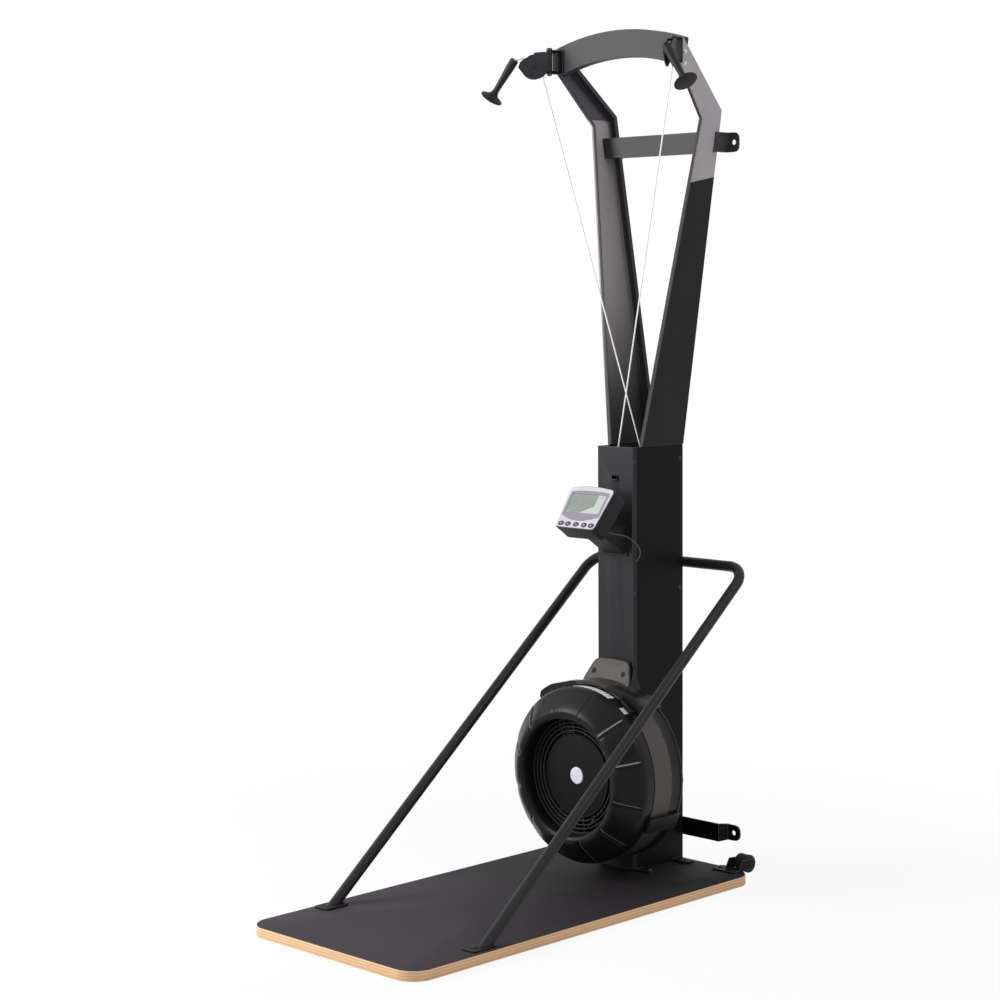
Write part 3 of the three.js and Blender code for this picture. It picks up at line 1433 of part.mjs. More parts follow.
function consoleOutline(inset) {
  const [top, low] = [consoleTopWidth / 2 - inset, consoleBottomWidth / 2 - inset];
  const half = consoleFaceHeight / 2 - inset;
  const r = consoleCorner - inset / 2;
  const [edgeShare, crownShare] = consoleBowShares;
  const shape = new THREE.Shape();
  shape.moveTo(-low + r, -half);
  shape.lineTo(low - r, -half);
  shape.quadraticCurveTo(low, -half, low + (top - low) * (r / half / 2), -half + r);
  shape.lineTo(top, half - r);
  shape.quadraticCurveTo(top, half, top - r, half + consoleBow * edgeShare);
  shape.quadraticCurveTo(0, half + consoleBow * crownShare, -top + r, half + consoleBow * edgeShare);
  shape.quadraticCurveTo(-top, half, -top, half - r);
  shape.lineTo(-low - (top - low) * (r / half / 2), -half + r);
  shape.quadraticCurveTo(-low, -half, -low + r, -half);
  return shape;
}

function oval(width, height, x, y) {
  return roundedBox(width / 2, height / 2, height * ovalRoundShare, x, y);
}

function buildConsoleHousing(group) {
  const bevel = consoleBackBevel;
  const shell = new THREE.ExtrudeGeometry(consoleOutline(bevel), {
    depth: consoleDepth - bevel * 2, bevelThickness: bevel, bevelSize: bevel, bevelSegments: 1,
    curveSegments: consoleSteps,
  }).translate(0, 0, -consoleDepth + bevel);
  const trimmed = cut(shell, block(-consoleTopWidth, consoleTopWidth, -consoleTopWidth, consoleTopWidth,
    -bevel, cutOverrun));
  const front = plateXY(consoleOutline(0), -bevel - fuseDepth, 0, consoleSteps);
  const pivotZ = -consoleDepth - tiltStandoff;
  const earInner = tongueHalf + earGap;
  const earShape = new THREE.Shape();
  earShape.moveTo(-tiltDrop - tiltRadius * earRootShare, -consoleDepth + fuseDepth);
  earShape.lineTo(-tiltDrop - tiltRadius, pivotZ);
  earShape.absarc(-tiltDrop, pivotZ, tiltRadius, Math.PI, 2 * Math.PI, false);
  earShape.lineTo(-tiltDrop + tiltRadius * earRootShare, -consoleDepth + fuseDepth);
  const ears = [-1, 1].map((side) => {
    const [x0, x1] = side > 0 ? [earInner, earInner + consoleEar] : [-earInner - consoleEar, -earInner];
    return plateYZ(earShape, x0, x1, 3);
  });
  const pin = turnedX(rodProfile(tiltPinRadius, -earInner - consoleEar, earInner + consoleEar), pinSides)
    .translate(0, -tiltDrop, pivotZ);
  const glandProfile = rodProfile(glandRadius, -consoleDepth - glandLength, -consoleDepth + fuseDepth);
  const gland = turnedZ(glandProfile, pinSides).translate(cableGlandOffset, -tiltDrop, 0);
  add('console_housing', join(front, trimmed, ...ears, pin, gland), mattBlack, group);
}

function buildConsole() {
  const group = new THREE.Group();
  group.position.set(0, columnFront - consoleForward, consoleHeight);
  group.rotation.x = consoleLeanAngle;
  machine.add(group);
  buildConsoleHousing(group);
  const screenBox = (clear) => roundedBox(
    screenWidth / 2 + clear, screenHeight / 2 + clear, screenCorner, 0, screenRise);
  const opening = plateXY(screenBox(seatGap), -cutOverrun, bezelThickness + cutOverrun, 3);
  const buttonPlace = (share) => [share * buttonSpread, -buttonDrop];
  const holes = buttonShares.map((share) => plateXY(
    oval(buttonWidth + 2 * runningGap, buttonHeight + 2 * runningGap, ...buttonPlace(share)),
    -cutOverrun, bezelThickness + cutOverrun, buttonSteps));
  const bezel = plateXY(consoleOutline(bezelInset), seatGap, bezelThickness, consoleSteps);
  add('console_bezel', cut(bezel, opening, ...holes), bezelSilver, group);
  add('console_screen', plateXY(screenBox(0), seatGap, screenThickness + seatGap, 3), screenGreen, group);
  buttonShares.forEach((share, i) => {
    const key = plateXY(oval(buttonWidth, buttonHeight, ...buttonPlace(share)), buttonRise,
      buttonRise + buttonThickness, buttonSteps);
    add(`console_button_${i + 1}`, key, mattBlack, group);
  });
}

// A point given in the console's own axes, in the machine's axes.
function consolePoint(x, up, out) {
  return new THREE.Vector3(x, up, out)
    .applyAxisAngle(new THREE.Vector3(1, 0, 0), consoleLeanAngle)
    .add(new THREE.Vector3(0, columnFront - consoleForward, consoleHeight));
}

function buildConsoleBracket() {
  const pivot = consolePoint(0, -tiltDrop, -consoleDepth - tiltStandoff);
  const back = columnFront - seatGap;
  const plate = plateXZ(roundedBox(bracketHalf, (bracketFootTop - bracketFootBottom) / 2, bracketFootPlate,
    0, (bracketFootTop + bracketFootBottom) / 2), back - bracketFootPlate, back, 2);
  const arm = new THREE.Shape();
  arm.moveTo(back - fuseDepth, bracketFootTop - bracketFootPlate * 2);
  arm.lineTo(pivot.y, pivot.z + tiltRadius);
  arm.absarc(pivot.y, pivot.z, tiltRadius, Math.PI / 2, tongueSweepAngle, false);
  arm.lineTo(back - fuseDepth, bracketFootBottom + bracketFootPlate);
  arm.closePath();
  const tongue = plateYZ(arm, -tongueHalf, tongueHalf, 3);
  const bore = turnedX(rodProfile(boreFor(tiltPinRadius, roundSides), -bracketHalf, bracketHalf), roundSides)
    .translate(0, pivot.y, pivot.z);
  add('console_bracket', cut(join(plate, tongue), bore), mattBlack);
}

// The console's cable hangs free in a small loop. Its route is a list of chosen points.
function buildConsoleCable() {
  const back = -consoleDepth - glandLength - seatGap;
  const start = consolePoint(cableGlandOffset, -tiltDrop, back);
  const out = consolePoint(cableGlandOffset, -tiltDrop, back - cableStraight);
  const endY = columnFront + columnGlandInset;
  const end = new THREE.Vector3(coverHalf + columnGlandLength + seatGap, endY, columnGlandHeight);
  const before = end.clone().setX(end.x + cableStraight);
  const loop = cableWaypoints.map(([x, y, z]) => new THREE.Vector3(x, columnFront + y, consoleHeight + z));
  const curve = new THREE.CatmullRomCurve3([out, ...loop, before], false, 'centripetal');
  const stations = [start, ...curve.getSpacedPoints(cableSteps), end];
  add('console_cable', tube(stations, cableRadius, ropeSides), mattBlack);
}

// Transport wheels behind the platform's rear corners

function wheelEarOutline(earFront, axisY) {
  const [riseShare, topShare, rootShare] = wheelEarShares;
  const ear = new THREE.Shape();
  ear.moveTo(earFront + wheelEarRadius, deckTop);
  ear.lineTo(boardLength / 2 - wheelEarRadius, wheelHeight + wheelEarRadius * riseShare);
  ear.lineTo(axisY, wheelHeight + wheelEarRadius * topShare);
  ear.absarc(axisY, wheelHeight, wheelEarRadius, ...wheelEarAngles, true);
  ear.lineTo(axisY - wheelEarRadius * rootShare, deckTop + wheelPlateThickness / 2);
  ear.lineTo(boardLength / 2, deckTop);
  ear.closePath();
  return ear;
}

function buildTransportWheels() {
  const axisY = boardLength / 2 + wheelOverhang;
  const earFront = boardLength / 2 - wheelPlateLength;
  const inner = wheelWidth / 2 + wheelEarGap;
  const outer = inner + wheelEar;
  const plateHalf = outer + wheelPlateOverhang / 2;
  const plateMiddle = wheelHalf - wheelPlateOverhang / 2;
  const plateTop = deckTop + wheelPlateThickness;
  const plateY = earFront + wheelPlateLength / 2;
  const plate = plateXY(roundedBox(plateHalf, wheelPlateLength / 2, wheelPlateThickness,
    plateMiddle, plateY - cutOverrun), deckTop, plateTop, 2);
  const ear = wheelEarOutline(earFront, axisY);
  const ears = [[-outer, -inner], [inner, outer]].map(([from, to]) => plateYZ(
    ear, wheelHalf + from, wheelHalf + to, 2));
  const axle = turnedX(rodProfile(wheelAxleRadius, -outer - wheelAxleProud, outer + wheelAxleProud), pinSides)
    .translate(wheelHalf, axisY, wheelHeight);
  const bolt = turnedZ(headProfile(wheelBoltRadius, boltHeadHeight), pinSides)
    .translate(plateMiddle - plateHalf + wheelBoltInset, plateY, plateTop);
  const right = join(plate, ...ears, axle, bolt);
  const half = wheelWidth / 2;
  const bore = boreFor(wheelAxleRadius, sheaveSides);
  const [face, flat] = [wheelRadius - wheelTreadRound, half - wheelTreadRound];
  const tread = turnedX([
    [bore, -half], [face, -half], [wheelRadius, -flat], [wheelRadius, flat],
    [face, half], [bore, half], [bore, -half],
  ], sheaveSides).translate(wheelHalf, axisY, wheelHeight);
  add('wheel_bracket_right', right, blackPowder);
  add('wheel_bracket_left', mirrored(right), blackPowder);
  add('transport_wheel_right', tread, rubber);
  add('transport_wheel_left', mirrored(tread), rubber);
}

buildPlatform();
buildColumnFrame();
buildColumnCover();
buildArms();
buildArchBar();
buildUpperWallBar();
buildUpperEars();
buildLowerWallBar();
buildBraceHoop();
buildBraceFeet();
buildPulleyHeads();
buildGuide();
buildSpools();
buildDriveRopes();
buildDrivePlate();
buildFanFrontShell();
buildFanGrille();
buildFanMeshBand();
buildFanRearShell();
buildDamper();
buildImpeller();
buildConsole();
buildConsoleBracket();
buildConsoleCable();
buildTransportWheels();

export default machine;
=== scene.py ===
# %% [markdown]
# # A ski trainer for the gym wall
# A board carries a steel column with two splayed arms, a fan, and two ropes over turning pulley
# heads. This lesson dresses the packed model, in metres, for a studio picture. Flat steel keeps the
# model's shape with softened edges. What is round, woven or moulded is worked out again in arrays.

# %% Load the packed model
import json
import bmesh
import bpy
import numpy as np
from mathutils import Matrix


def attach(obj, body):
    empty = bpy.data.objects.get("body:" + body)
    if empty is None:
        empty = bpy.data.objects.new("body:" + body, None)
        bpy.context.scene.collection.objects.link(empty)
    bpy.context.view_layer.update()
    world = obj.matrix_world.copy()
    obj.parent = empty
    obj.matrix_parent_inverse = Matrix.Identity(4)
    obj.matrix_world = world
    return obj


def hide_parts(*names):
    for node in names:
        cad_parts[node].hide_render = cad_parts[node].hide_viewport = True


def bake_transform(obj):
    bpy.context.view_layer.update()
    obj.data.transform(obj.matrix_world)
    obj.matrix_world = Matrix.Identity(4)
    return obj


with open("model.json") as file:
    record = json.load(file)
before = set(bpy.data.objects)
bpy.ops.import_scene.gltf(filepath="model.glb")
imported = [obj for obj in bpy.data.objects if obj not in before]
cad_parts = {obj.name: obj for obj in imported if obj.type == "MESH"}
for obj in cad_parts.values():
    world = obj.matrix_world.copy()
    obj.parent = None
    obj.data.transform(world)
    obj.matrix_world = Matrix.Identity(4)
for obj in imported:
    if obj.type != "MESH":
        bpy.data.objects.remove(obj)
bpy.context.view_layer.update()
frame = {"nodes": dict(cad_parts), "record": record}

record = frame["record"]
owner = {node: body for body, nodes in record["behaviour"]["bodies"].items() for node in nodes}

# %% [markdown]
# ## The camera
# A camera is a point, a lens and three directions, which come from three angles: how far the view
# is turned round the upright, how far it looks down, and how far it leans.

# %% Stand the camera at its place
def linked(name, data):
    """A new object that holds the data, linked to the scene."""
    holder = bpy.data.objects.new(name, data)
    bpy.context.scene.collection.objects.link(holder)
    return holder


def stand(holder, place, axes):
    """Puts an object at a place, with its X, Y and Z along the three axes."""
    turn = Matrix(np.column_stack(axes).tolist()).to_4x4()
    holder.matrix_world = Matrix.Translation(place) @ turn
    return holder


def camera_axes(turn, down, lean):
    """Forward is the turned level direction bent down, level is square to it and flat, above is
    their cross product, and the lean mixes level and above by its cosine and sine."""
    forward = np.array([-np.sin(turn) * np.cos(down), np.cos(turn) * np.cos(down), -np.sin(down)])
    level = np.array([np.cos(turn), np.sin(turn), 0.0])
    above = np.cross(level, forward)
    right = level * np.cos(lean) + above * np.sin(lean)
    return right, above * np.cos(lean) - level * np.sin(lean), -forward


EYE = (4.034697, -4.083026, 1.5784782)
VIEW_ANGLES = np.radians([44.860478, 3.794316, -0.315837])
LENS_PER_WIDTH, LENS_SHIFT = 2.2812057, -0.06
camera = bpy.data.cameras.new("studio_camera")
camera.lens, camera.shift_y = LENS_PER_WIDTH * camera.sensor_width, LENS_SHIFT
bpy.context.scene.camera = stand(linked("studio_camera", camera), EYE, camera_axes(*VIEW_ANGLES))
print("lens", round(camera.lens, 2), "mm, looking from", EYE)

# %% [markdown]
# ## Surfaces from grids
# A grid of points is a whole surface: one number runs along it, the other across it, and each
# square is one face. A grid can close on itself, and a row that shrinks to one point becomes a
# pole. All the shapes below fill such a grid, mostly by turning a profile or carrying a section
# along a path.

# %% Make faces from a grid
def unit(vectors):
    """Each vector divided by its length."""
    return vectors / np.linalg.norm(vectors, axis=-1, keepdims=True)


def grid(points, wrap_along=False, wrap_across=False):
    """Points, faces and UV. The face at (i, j) has the corners (i, j), (i + 1, j), (i + 1, j + 1)
    and (i, j + 1), counted round again at the end where a direction wraps."""
    along, across = points.shape[:2]
    last = along - (not wrap_along), across - (not wrap_across)
    i, j = np.meshgrid(*map(np.arange, last), indexing="ij")
    k, m = (i + 1) % along, (j + 1) % across
    faces = np.stack([i * across + j, k * across + j, k * across + m, i * across + m], -1)
    u, v = np.stack([i, i + 1, i + 1, i], -1) / along, np.stack([j, j, j + 1, j + 1], -1) / across
    return points.reshape(-1, 3), faces.reshape(-1, 4), np.stack([u, v], -1).reshape(-1, 2)


def turned(profile, axis="Y", sides=96, sweep=(0.0, 360.0)):
    """A profile of (radius, place on the axis) turned round the axis: the two other coordinates are
    the radius times the cosine and the sine of the angle. A part sweep stays open at its ends."""
    radius, place = np.asarray(profile, float).T
    whole = sweep[1] - sweep[0] >= 360.0
    angle = np.radians(np.linspace(*sweep, sides, endpoint=not whole))
    u, v = np.outer(radius, np.cos(angle)), np.outer(radius, np.sin(angle))
    w = np.repeat(place[:, None], sides, 1)
    points = {"X": (w, u, v), "Y": (u, w, v), "Z": (u, v, w)}[axis]
    return grid(np.stack(points, -1), False, whole)


def carried(path, radius, sides, reference=(0.0, 0.0, 1.0)):
    """A round section carried along a path, square to it at each station: its first direction is
    the reference without its share along the path, its second their cross product, and the point is
    the station plus the radius times the cosine and sine of the angle."""
    reference = np.array(reference)
    ahead = unit(np.gradient(path, axis=0))
    first = unit(reference - ahead * (ahead @ reference)[:, None])
    second = np.cross(ahead, first)
    angle = np.linspace(0, 2 * np.pi, sides, endpoint=False)[None, :, None]
    ring = first[:, None] * np.cos(angle) + second[:, None] * np.sin(angle)
    caps = [np.repeat(path[[end]][:, None], sides, 1) for end in (0, -1)]
    return grid(np.concatenate([caps[0], path[:, None] + ring * radius, caps[1]]), False, True)


def gathered(*shapes):
    """Joins several grids into one: each grid's face numbers go up by the points before it."""
    starts = np.cumsum([0] + [len(points) for points, _, _ in shapes[:-1]])
    faces = [shape[1] + start for shape, start in zip(shapes, starts)]
    return (np.concatenate([shape[0] for shape in shapes]), np.concatenate(faces),
            np.concatenate([shape[2] for shape in shapes]))


def moved(shape, how):
    """The same faces on points that a function has moved."""
    return how(shape[0]), shape[1], shape[2]


print("a turned ring of 96 sides has", len(turned([(1, 0), (1, 1)])[1]), "faces")

# %% [markdown]
# One function smooths each piece's faces, marks the sharp edges, hangs the piece on the body it
# rides on and hides the solid it stands for. A new piece also gets a UV map along its grid.

# %% Turn a grid into a piece
WELD_DISTANCE = 2e-6


def welded(source, mesh, then):
    """Fills the mesh with the source's, its doubled corners merged, after one more step."""
    work = bmesh.new()
    work.from_mesh(source)
    bmesh.ops.remove_doubles(work, verts=work.verts, dist=WELD_DISTANCE)
    then(work)
    work.to_mesh(mesh)
    work.free()


def settle(piece, finishes, node, replaces=True, rides=True, edge=0.0, sharp=40.0):
    """Smooth faces, sharp edges by angle, the finishes, an optional fine bevel in the last finish,
    and unless told otherwise the piece hung on the node's body and the node itself hidden."""
    mesh = piece.data
    mesh.polygons.foreach_set("use_smooth", np.ones(len(mesh.polygons), bool))
    mesh.set_sharp_from_angle(angle=np.radians(sharp))
    for finish in finishes:
        mesh.materials.append(finish)
    if edge:
        bevel = piece.modifiers.new("soft_edge", "BEVEL")
        bevel.width, bevel.segments, bevel.limit_method = edge, 2, "ANGLE"
        bevel.angle_limit, bevel.use_clamp_overlap = np.radians(sharp - 3), False
        bevel.harden_normals, bevel.material = True, len(finishes) - 1
    if rides:
        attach(piece, owner[node])
    if replaces:
        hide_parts(node)
    return piece


def make_piece(name, shape, finish, node, **how):
    """Builds the mesh from whole arrays, then welds, orients and settles it."""
    points, faces, uv = shape
    mesh = bpy.data.meshes.new(name)
    mesh.from_pydata(points.tolist(), [], faces.tolist())
    layer = mesh.uv_layers.new(name="along_across")
    layer.data.foreach_set("uv", uv.astype(np.float32).ravel())
    welded(mesh, mesh, lambda work: bmesh.ops.recalc_face_normals(work, faces=work.faces))
    print(name, len(mesh.polygons), "faces, settled like", node)
    return settle(linked(name, mesh), [finish], node, **how)


# %% [markdown]
# ## Shader sums written as sums
# A material is a graph of small nodes. One small class holds an output socket, and a plain sum or
# product written with it adds the Math nodes. The graph has one method for every other node.

# %% A socket that can be added and multiplied
class Signal:
    """A number that changes over the surface. a + b, 1 - a and a * b each add one Math node."""

    def __init__(self, graph, socket):
        self.graph, self.socket = graph, socket

    def sum(self, kind, first, second):
        return self.graph.node("ShaderNodeMath", {"operation": kind}, {0: first, 1: second})

    def __add__(self, other): return self.sum("ADD", self, other)
    def __radd__(self, other): return self.sum("ADD", other, self)
    def __sub__(self, other): return self.sum("SUBTRACT", self, other)
    def __rsub__(self, other): return self.sum("SUBTRACT", other, self)
    def __mul__(self, other): return self.sum("MULTIPLY", self, other)
    def __truediv__(self, other): return self.sum("DIVIDE", self, other)
    def __gt__(self, other): return self.sum("GREATER_THAN", self, other)
    def __lt__(self, other): return self.sum("LESS_THAN", self, other)
    def __pow__(self, other): return self.sum("POWER", self, other)
    def __mod__(self, other): return self.sum("FLOORED_MODULO", self, other)


class Graph:
    """The nodes of one material or world, emptied and filled through node()."""

    def __init__(self, tree):
        self.tree = tree
        tree.nodes.clear()

    def node(self, kind, settings=None, values=None, give=0):
        made = self.tree.nodes.new(kind)
        for key, value in (settings or {}).items():
            setattr(made, key, value)
        for key, value in (values or {}).items():
            if isinstance(value, Signal):
                self.tree.links.new(value.socket, made.inputs[key])
            else:
                made.inputs[key].default_value = value
        return Signal(self, made.outputs[give]) if len(made.outputs) else made

    def place(self, kind="Object"):
        return self.node("ShaderNodeTexCoord", give=kind)

    def parts(self, letters, kind="Object"):
        """The named coordinates of the point, or of its UV."""
        place = self.place(kind)
        return [self.node("ShaderNodeSeparateXYZ", values={0: place}, give=each)
                for each in letters]

    def noise(self, scale, detail=2.0, stretch=None):
        vector = self.place()
        if stretch:
            vector = self.node("ShaderNodeMapping", values={"Vector": vector, "Scale": stretch})
        return self.node("ShaderNodeTexNoise",
                         values={"Vector": vector, "Scale": scale, "Detail": detail})

    def smooth(self, value, first, last):
        """0 at the first value, 1 at the last, with a soft start and end."""
        return self.node("ShaderNodeMapRange", {"interpolation_type": "SMOOTHSTEP"},
                         {"Value": value, "From Min": first, "From Max": last})

    def mix(self, share, first, second):
        first, second = ((*c, 1.0) if isinstance(c, tuple) else c for c in (first, second))
        return self.node("ShaderNodeMix", {"data_type": "RGBA"}, {0: share, 6: first, 7: second}, 2)

    def shade(self, colour, rough, shine=0.5, bump=None, **more):
        """Ends the graph in one Principled surface. A bump is its height, distance and strength."""
        values = {"Base Color": colour, "Roughness": rough, "Specular IOR Level": shine, **more}
        if bump:
            sockets = dict(zip(("Height", "Distance", "Strength"), bump))
            values["Normal"] = self.node("ShaderNodeBump", values=sockets)
        surface = self.node("ShaderNodeBsdfPrincipled", values=values)
        self.node("ShaderNodeOutputMaterial", values={"Surface": surface})


def a_finish(fill):
    """Makes a function that fills a graph into one that returns a named material."""
    def named(name, *values, **settings):
        material = bpy.data.materials.new(name)
        material.use_nodes = True
        fill(Graph(material.node_tree), *values, **settings)
        return material
    return named


def scaled(colour, factor, more=0.0):
    return tuple(factor * c + more for c in colour)


print("signs that a signal knows:", [name for name in vars(Signal) if name.startswith("__")][1:])

# %% [markdown]
# ## The finishes
# Nearly all of this machine is black, so what tells its parts apart is how they shine. Powder coat
# is a skin of melted grains, softly shining and faintly pebbled like orange peel. A slow cloud of
# noise moves the colour and the shine a little, as handling and dust do.

# %% Powder coat
# The outer plane of an arm: it starts at this height and half width and leans out by this angle.
ARM_FOOT, ARM_HALF, ARM_LEAN = 1.16, 0.0613, np.radians(8.9)
ARM_SLOPE = float(np.tan(ARM_LEAN))
# The panel ends in a line from this height, over this y, rising by this slope.
PANEL_TOP, PANEL_Y, PANEL_SLOPE = 1.854, 0.52, 0.183
FOLD_HEIGHT = 2.035


def pebbles(graph):
    """The bump of grains about a millimetre wide."""
    return graph.noise(700.0), 0.00006, 0.6


@a_finish
def powder_coat(graph, colour, rough, shine):
    cloud, dust = graph.noise(5.0, 4.0), graph.noise(90.0, 3.0)
    skin = graph.mix(cloud * 0.7 + dust * 0.3, scaled(colour, 0.8), scaled(colour, 1.35, 0.004))
    graph.shade(skin, rough - 0.06 + cloud * 0.08 + dust * 0.05, shine, pebbles(graph))


@a_finish
def panelled_coat(graph, coat, panel):
    """The right arm's outer face carries a plain black panel that ends in a slanted line. Above the
    panel the face has a painted highlight, the coat made 12.5 times lighter. A point lies on that
    face where x is past the face's own plane, and on the panel where z is under the line."""
    x, y, z = graph.parts("XYZ")
    on_face = x - (z - ARM_FOOT) * ARM_SLOPE > ARM_HALF - 0.0015
    under = z - y * PANEL_SLOPE < PANEL_TOP - PANEL_Y * PANEL_SLOPE
    cloud = graph.noise(5.0, 4.0)
    # Painted highlight: on the face above the panel the coat is made 12.5 times lighter.
    paint = graph.mix(on_face * under, graph.mix(on_face, coat, scaled(coat, 12.5)), panel)
    paint = graph.mix(cloud * 0.3, paint, (0.0, 0.0, 0.0))
    graph.shade(paint, 0.45 + cloud * 0.08, 0.14, pebbles(graph))


@a_finish
def folded_coat(graph, coat, painted_light_above_fold, lit_web):
    """The left arm's inner web has a painted highlight below its fold that fades further down, and
    a lighter painted tone above the fold. The web is the skin between 1.5 and 4.5 mm inside the
    arm's outer plane."""
    x, z = graph.parts("XZ")
    inside = x + (z - ARM_FOOT) * ARM_SLOPE + ARM_HALF
    web = (inside > 0.0015) * (inside < 0.0045)
    # Painted highlight on the web below the fold, fading further down.
    lit = graph.smooth(z, 1.2, 1.62) * (z < FOLD_HEIGHT)
    cloud = graph.noise(5.0, 4.0)
    skin = graph.mix(cloud * 0.5, coat, scaled(coat, 1.3))
    # Painted light: the web above the fold is painted lighter.
    skin = graph.mix(web * (z > FOLD_HEIGHT), skin, painted_light_above_fold)
    skin = graph.mix(web * lit * 0.85, skin, lit_web)
    graph.shade(skin, 0.48 + cloud * 0.08, 0.2, pebbles(graph))


black_coat = powder_coat("black_coat", (0.0045, 0.0045, 0.0058), 0.45, 0.06)
# Painted light: the column's front cover takes the black coat four times lighter, as the face
# turned to the front lamp.
front_coat = powder_coat("front_coat", (0.018, 0.0178, 0.0205), 0.45, 0.12)
# Painted highlight: a brighter black coat for the bevelled edges.
black_edge_painted_highlight = powder_coat("black_coat_edge", (0.04, 0.04, 0.045), 0.35, 0.4)
arm_coat = powder_coat("arm_coat", (0.036, 0.033, 0.035), 0.5, 0.2)
# Painted highlight: a brighter arm coat for the bevelled edges.
arm_edge_painted_highlight = powder_coat("arm_coat_edge", (0.05, 0.048, 0.05), 0.4, 0.3)
tube_coat = powder_coat("tube_coat", (0.014, 0.014, 0.016), 0.4, 0.16)
web_coat = folded_coat("web_coat", (0.036, 0.033, 0.035), (0.095, 0.09, 0.105), (0.46, 0.43, 0.45))
panel_coat = panelled_coat("panel_coat", (0.036, 0.034, 0.036), (0.008, 0.008, 0.009))
print("powder coats:", [name for name in bpy.data.materials.keys() if "coat" in name])

# %% [markdown]
# Moulded plastic takes its shine from the mould: satin with a fine spark pattern on the fan, duller
# on the handles and the pulleys' cheeks.

# %% Moulded plastics and rubber
@a_finish
def moulding(graph, colour, rough, shine, grain=2600.0, depth=0.00002):
    smear = graph.noise(14.0, 4.0)
    skin = graph.mix(smear, colour, scaled(colour, 1.4, 0.002))
    graph.shade(skin, rough - 0.05 + smear * 0.12, shine, (graph.noise(grain, 1.0), depth, 0.5))


fan_plastic = moulding("fan_plastic", (0.0085, 0.008, 0.008), 0.3, 0.18)
# Painted light: the fan's plastic made lighter and warmer for the hood's roof and the neck plate,
# as where light falls on them.
hood_plastic = moulding("hood_plastic", (0.034, 0.03, 0.028), 0.45, 0.2)
ring_plastic = moulding("ring_plastic", (0.022, 0.022, 0.023), 0.4, 0.3)
dull_plastic = moulding("dull_plastic", (0.01, 0.01, 0.0115), 0.5, 0.14)
disc_plastic = moulding("disc_plastic", (0.0055, 0.0055, 0.0055), 0.5, 0.08)
head_plastic = moulding("head_plastic", (0.02, 0.02, 0.024), 0.5, 0.2)
tyre_rubber = moulding("tyre_rubber", (0.012, 0.012, 0.012), 0.7, 0.25, 1800.0, 0.00005)
cable_skin = moulding("cable_skin", (0.035, 0.035, 0.036), 0.3, 0.5)
grip_plastic = moulding("grip_plastic", (0.012, 0.012, 0.0135), 0.5, 0.18, 1800.0, 0.00004)
# Painted highlight: a pale coat on the rear shell's bevelled edges, as a bright rim line.
shell_edge = moulding("shell_edge", (0.1, 0.095, 0.095), 0.35, 0.5)
cap_plastic = moulding("cap_plastic", (0.6, 0.59, 0.63), 0.45, 0.4)
silver_face = moulding("silver_face", (0.46, 0.44, 0.49), 0.35, 0.4, 3000.0, 0.00001)
panel_grey = moulding("panel_grey", (0.2, 0.185, 0.22), 0.4, 0.4)
print("with the mouldings,", len(bpy.data.materials), "materials")

# %% [markdown]
# The fan's shell has a painted highlight along the raised lip of each crease and painted shade in
# each valley. The piece brings two measures in its UV map, 1 on the lip and 1 in the valley, and
# the finish turns them into a pale painted highlight and a dark painted shade. Bare steel has a
# faint cloud. The mesh round the fan is so fine that it reads as a brown grey skin, darkened and
# dented by a checker of tiny holes.

# %% The creased shell, metals and the mesh band
@a_finish
def creased_plastic(graph, colour, lip, valley):
    painted_highlight_on_lip, painted_shade_in_valley = graph.parts("XY", "UV")
    smear = graph.noise(14.0, 4.0)
    # Painted shade in each valley, and below it a painted highlight along each lip.
    skin = graph.mix(painted_shade_in_valley, graph.mix(smear, colour, scaled(colour, 1.5)), valley)
    graph.shade(graph.mix(painted_highlight_on_lip * 0.8, skin, lip), 0.3 + smear * 0.08 - painted_highlight_on_lip * 0.1, 0.12,
                (graph.noise(2600.0, 1.0), 0.00002, 0.4))


@a_finish
def bare_metal(graph, colour, rough):
    cloud = graph.noise(120.0, 3.0)
    graph.shade(graph.mix(cloud, scaled(colour, 0.7), colour), rough - 0.05 + cloud * 0.12,
                bump=(cloud, 0.00003, 0.5), Metallic=1.0)


def wave(turn):
    """Rises from 0 to 1 and falls back within each turn: 1 less the squared distance to its
    middle."""
    away = turn % 1.0 * 2.0 - 1.0
    return 1 - away * away


@a_finish
def woven_mesh(graph, wire, gap, counts):
    """Two waves cross, one round the fan, one along its axis. Where both are high there is a
    hole."""
    around, along = (wave(part * count) for part, count in zip(graph.parts("XY", "UV"), counts))
    hole = around * along
    graph.shade(graph.mix(hole, wire, gap), 0.45 + hole * 0.3, bump=(1 - hole, 0.0002, 0.8),
                Metallic=0.6)


# The lip colour is a painted highlight and the valley colour a painted shade.
creased_black = creased_plastic("creased_black", (0.0075, 0.007, 0.007), (0.42, 0.41, 0.41),
                                (0.0015, 0.0015, 0.0015))
zinc = bare_metal("zinc", (0.62, 0.63, 0.65), 0.32)
pin_steel = bare_metal("pin_steel", (0.09, 0.09, 0.1), 0.4)
fan_metal = bare_metal("fan_metal", (0.5, 0.5, 0.52), 0.4)
mesh_steel = woven_mesh("mesh_steel", (0.1, 0.088, 0.086), (0.03, 0.026, 0.026), (170.0, 560.0))
print("with the metals,", len(bpy.data.materials), "materials")

# %% [markdown]
# The rope is a braid: two slanting waves in its UV map give the bump and a trace of painted shade
# in the grooves between strands. The board is plywood, whose edge shows its plies as stripes by
# height, with grain that runs along some and ends in others. Its top is a dark film pressed with a
# fine pattern that gives the shoe its hold.

# %% Rope, plywood and deck film
@a_finish
def braid(graph, colour, strands):
    along, across = graph.parts("XY", "UV")
    across = across * strands
    high = wave(along + across) * 0.5 + wave(along - across) * 0.5
    # Painted shade: the grooves between strands are a trace darker.
    graph.shade(graph.mix(high, scaled(colour, 0.86), colour), 0.75, bump=(high, 0.0003, 0.6),
                **{"Sheen Weight": 0.2})


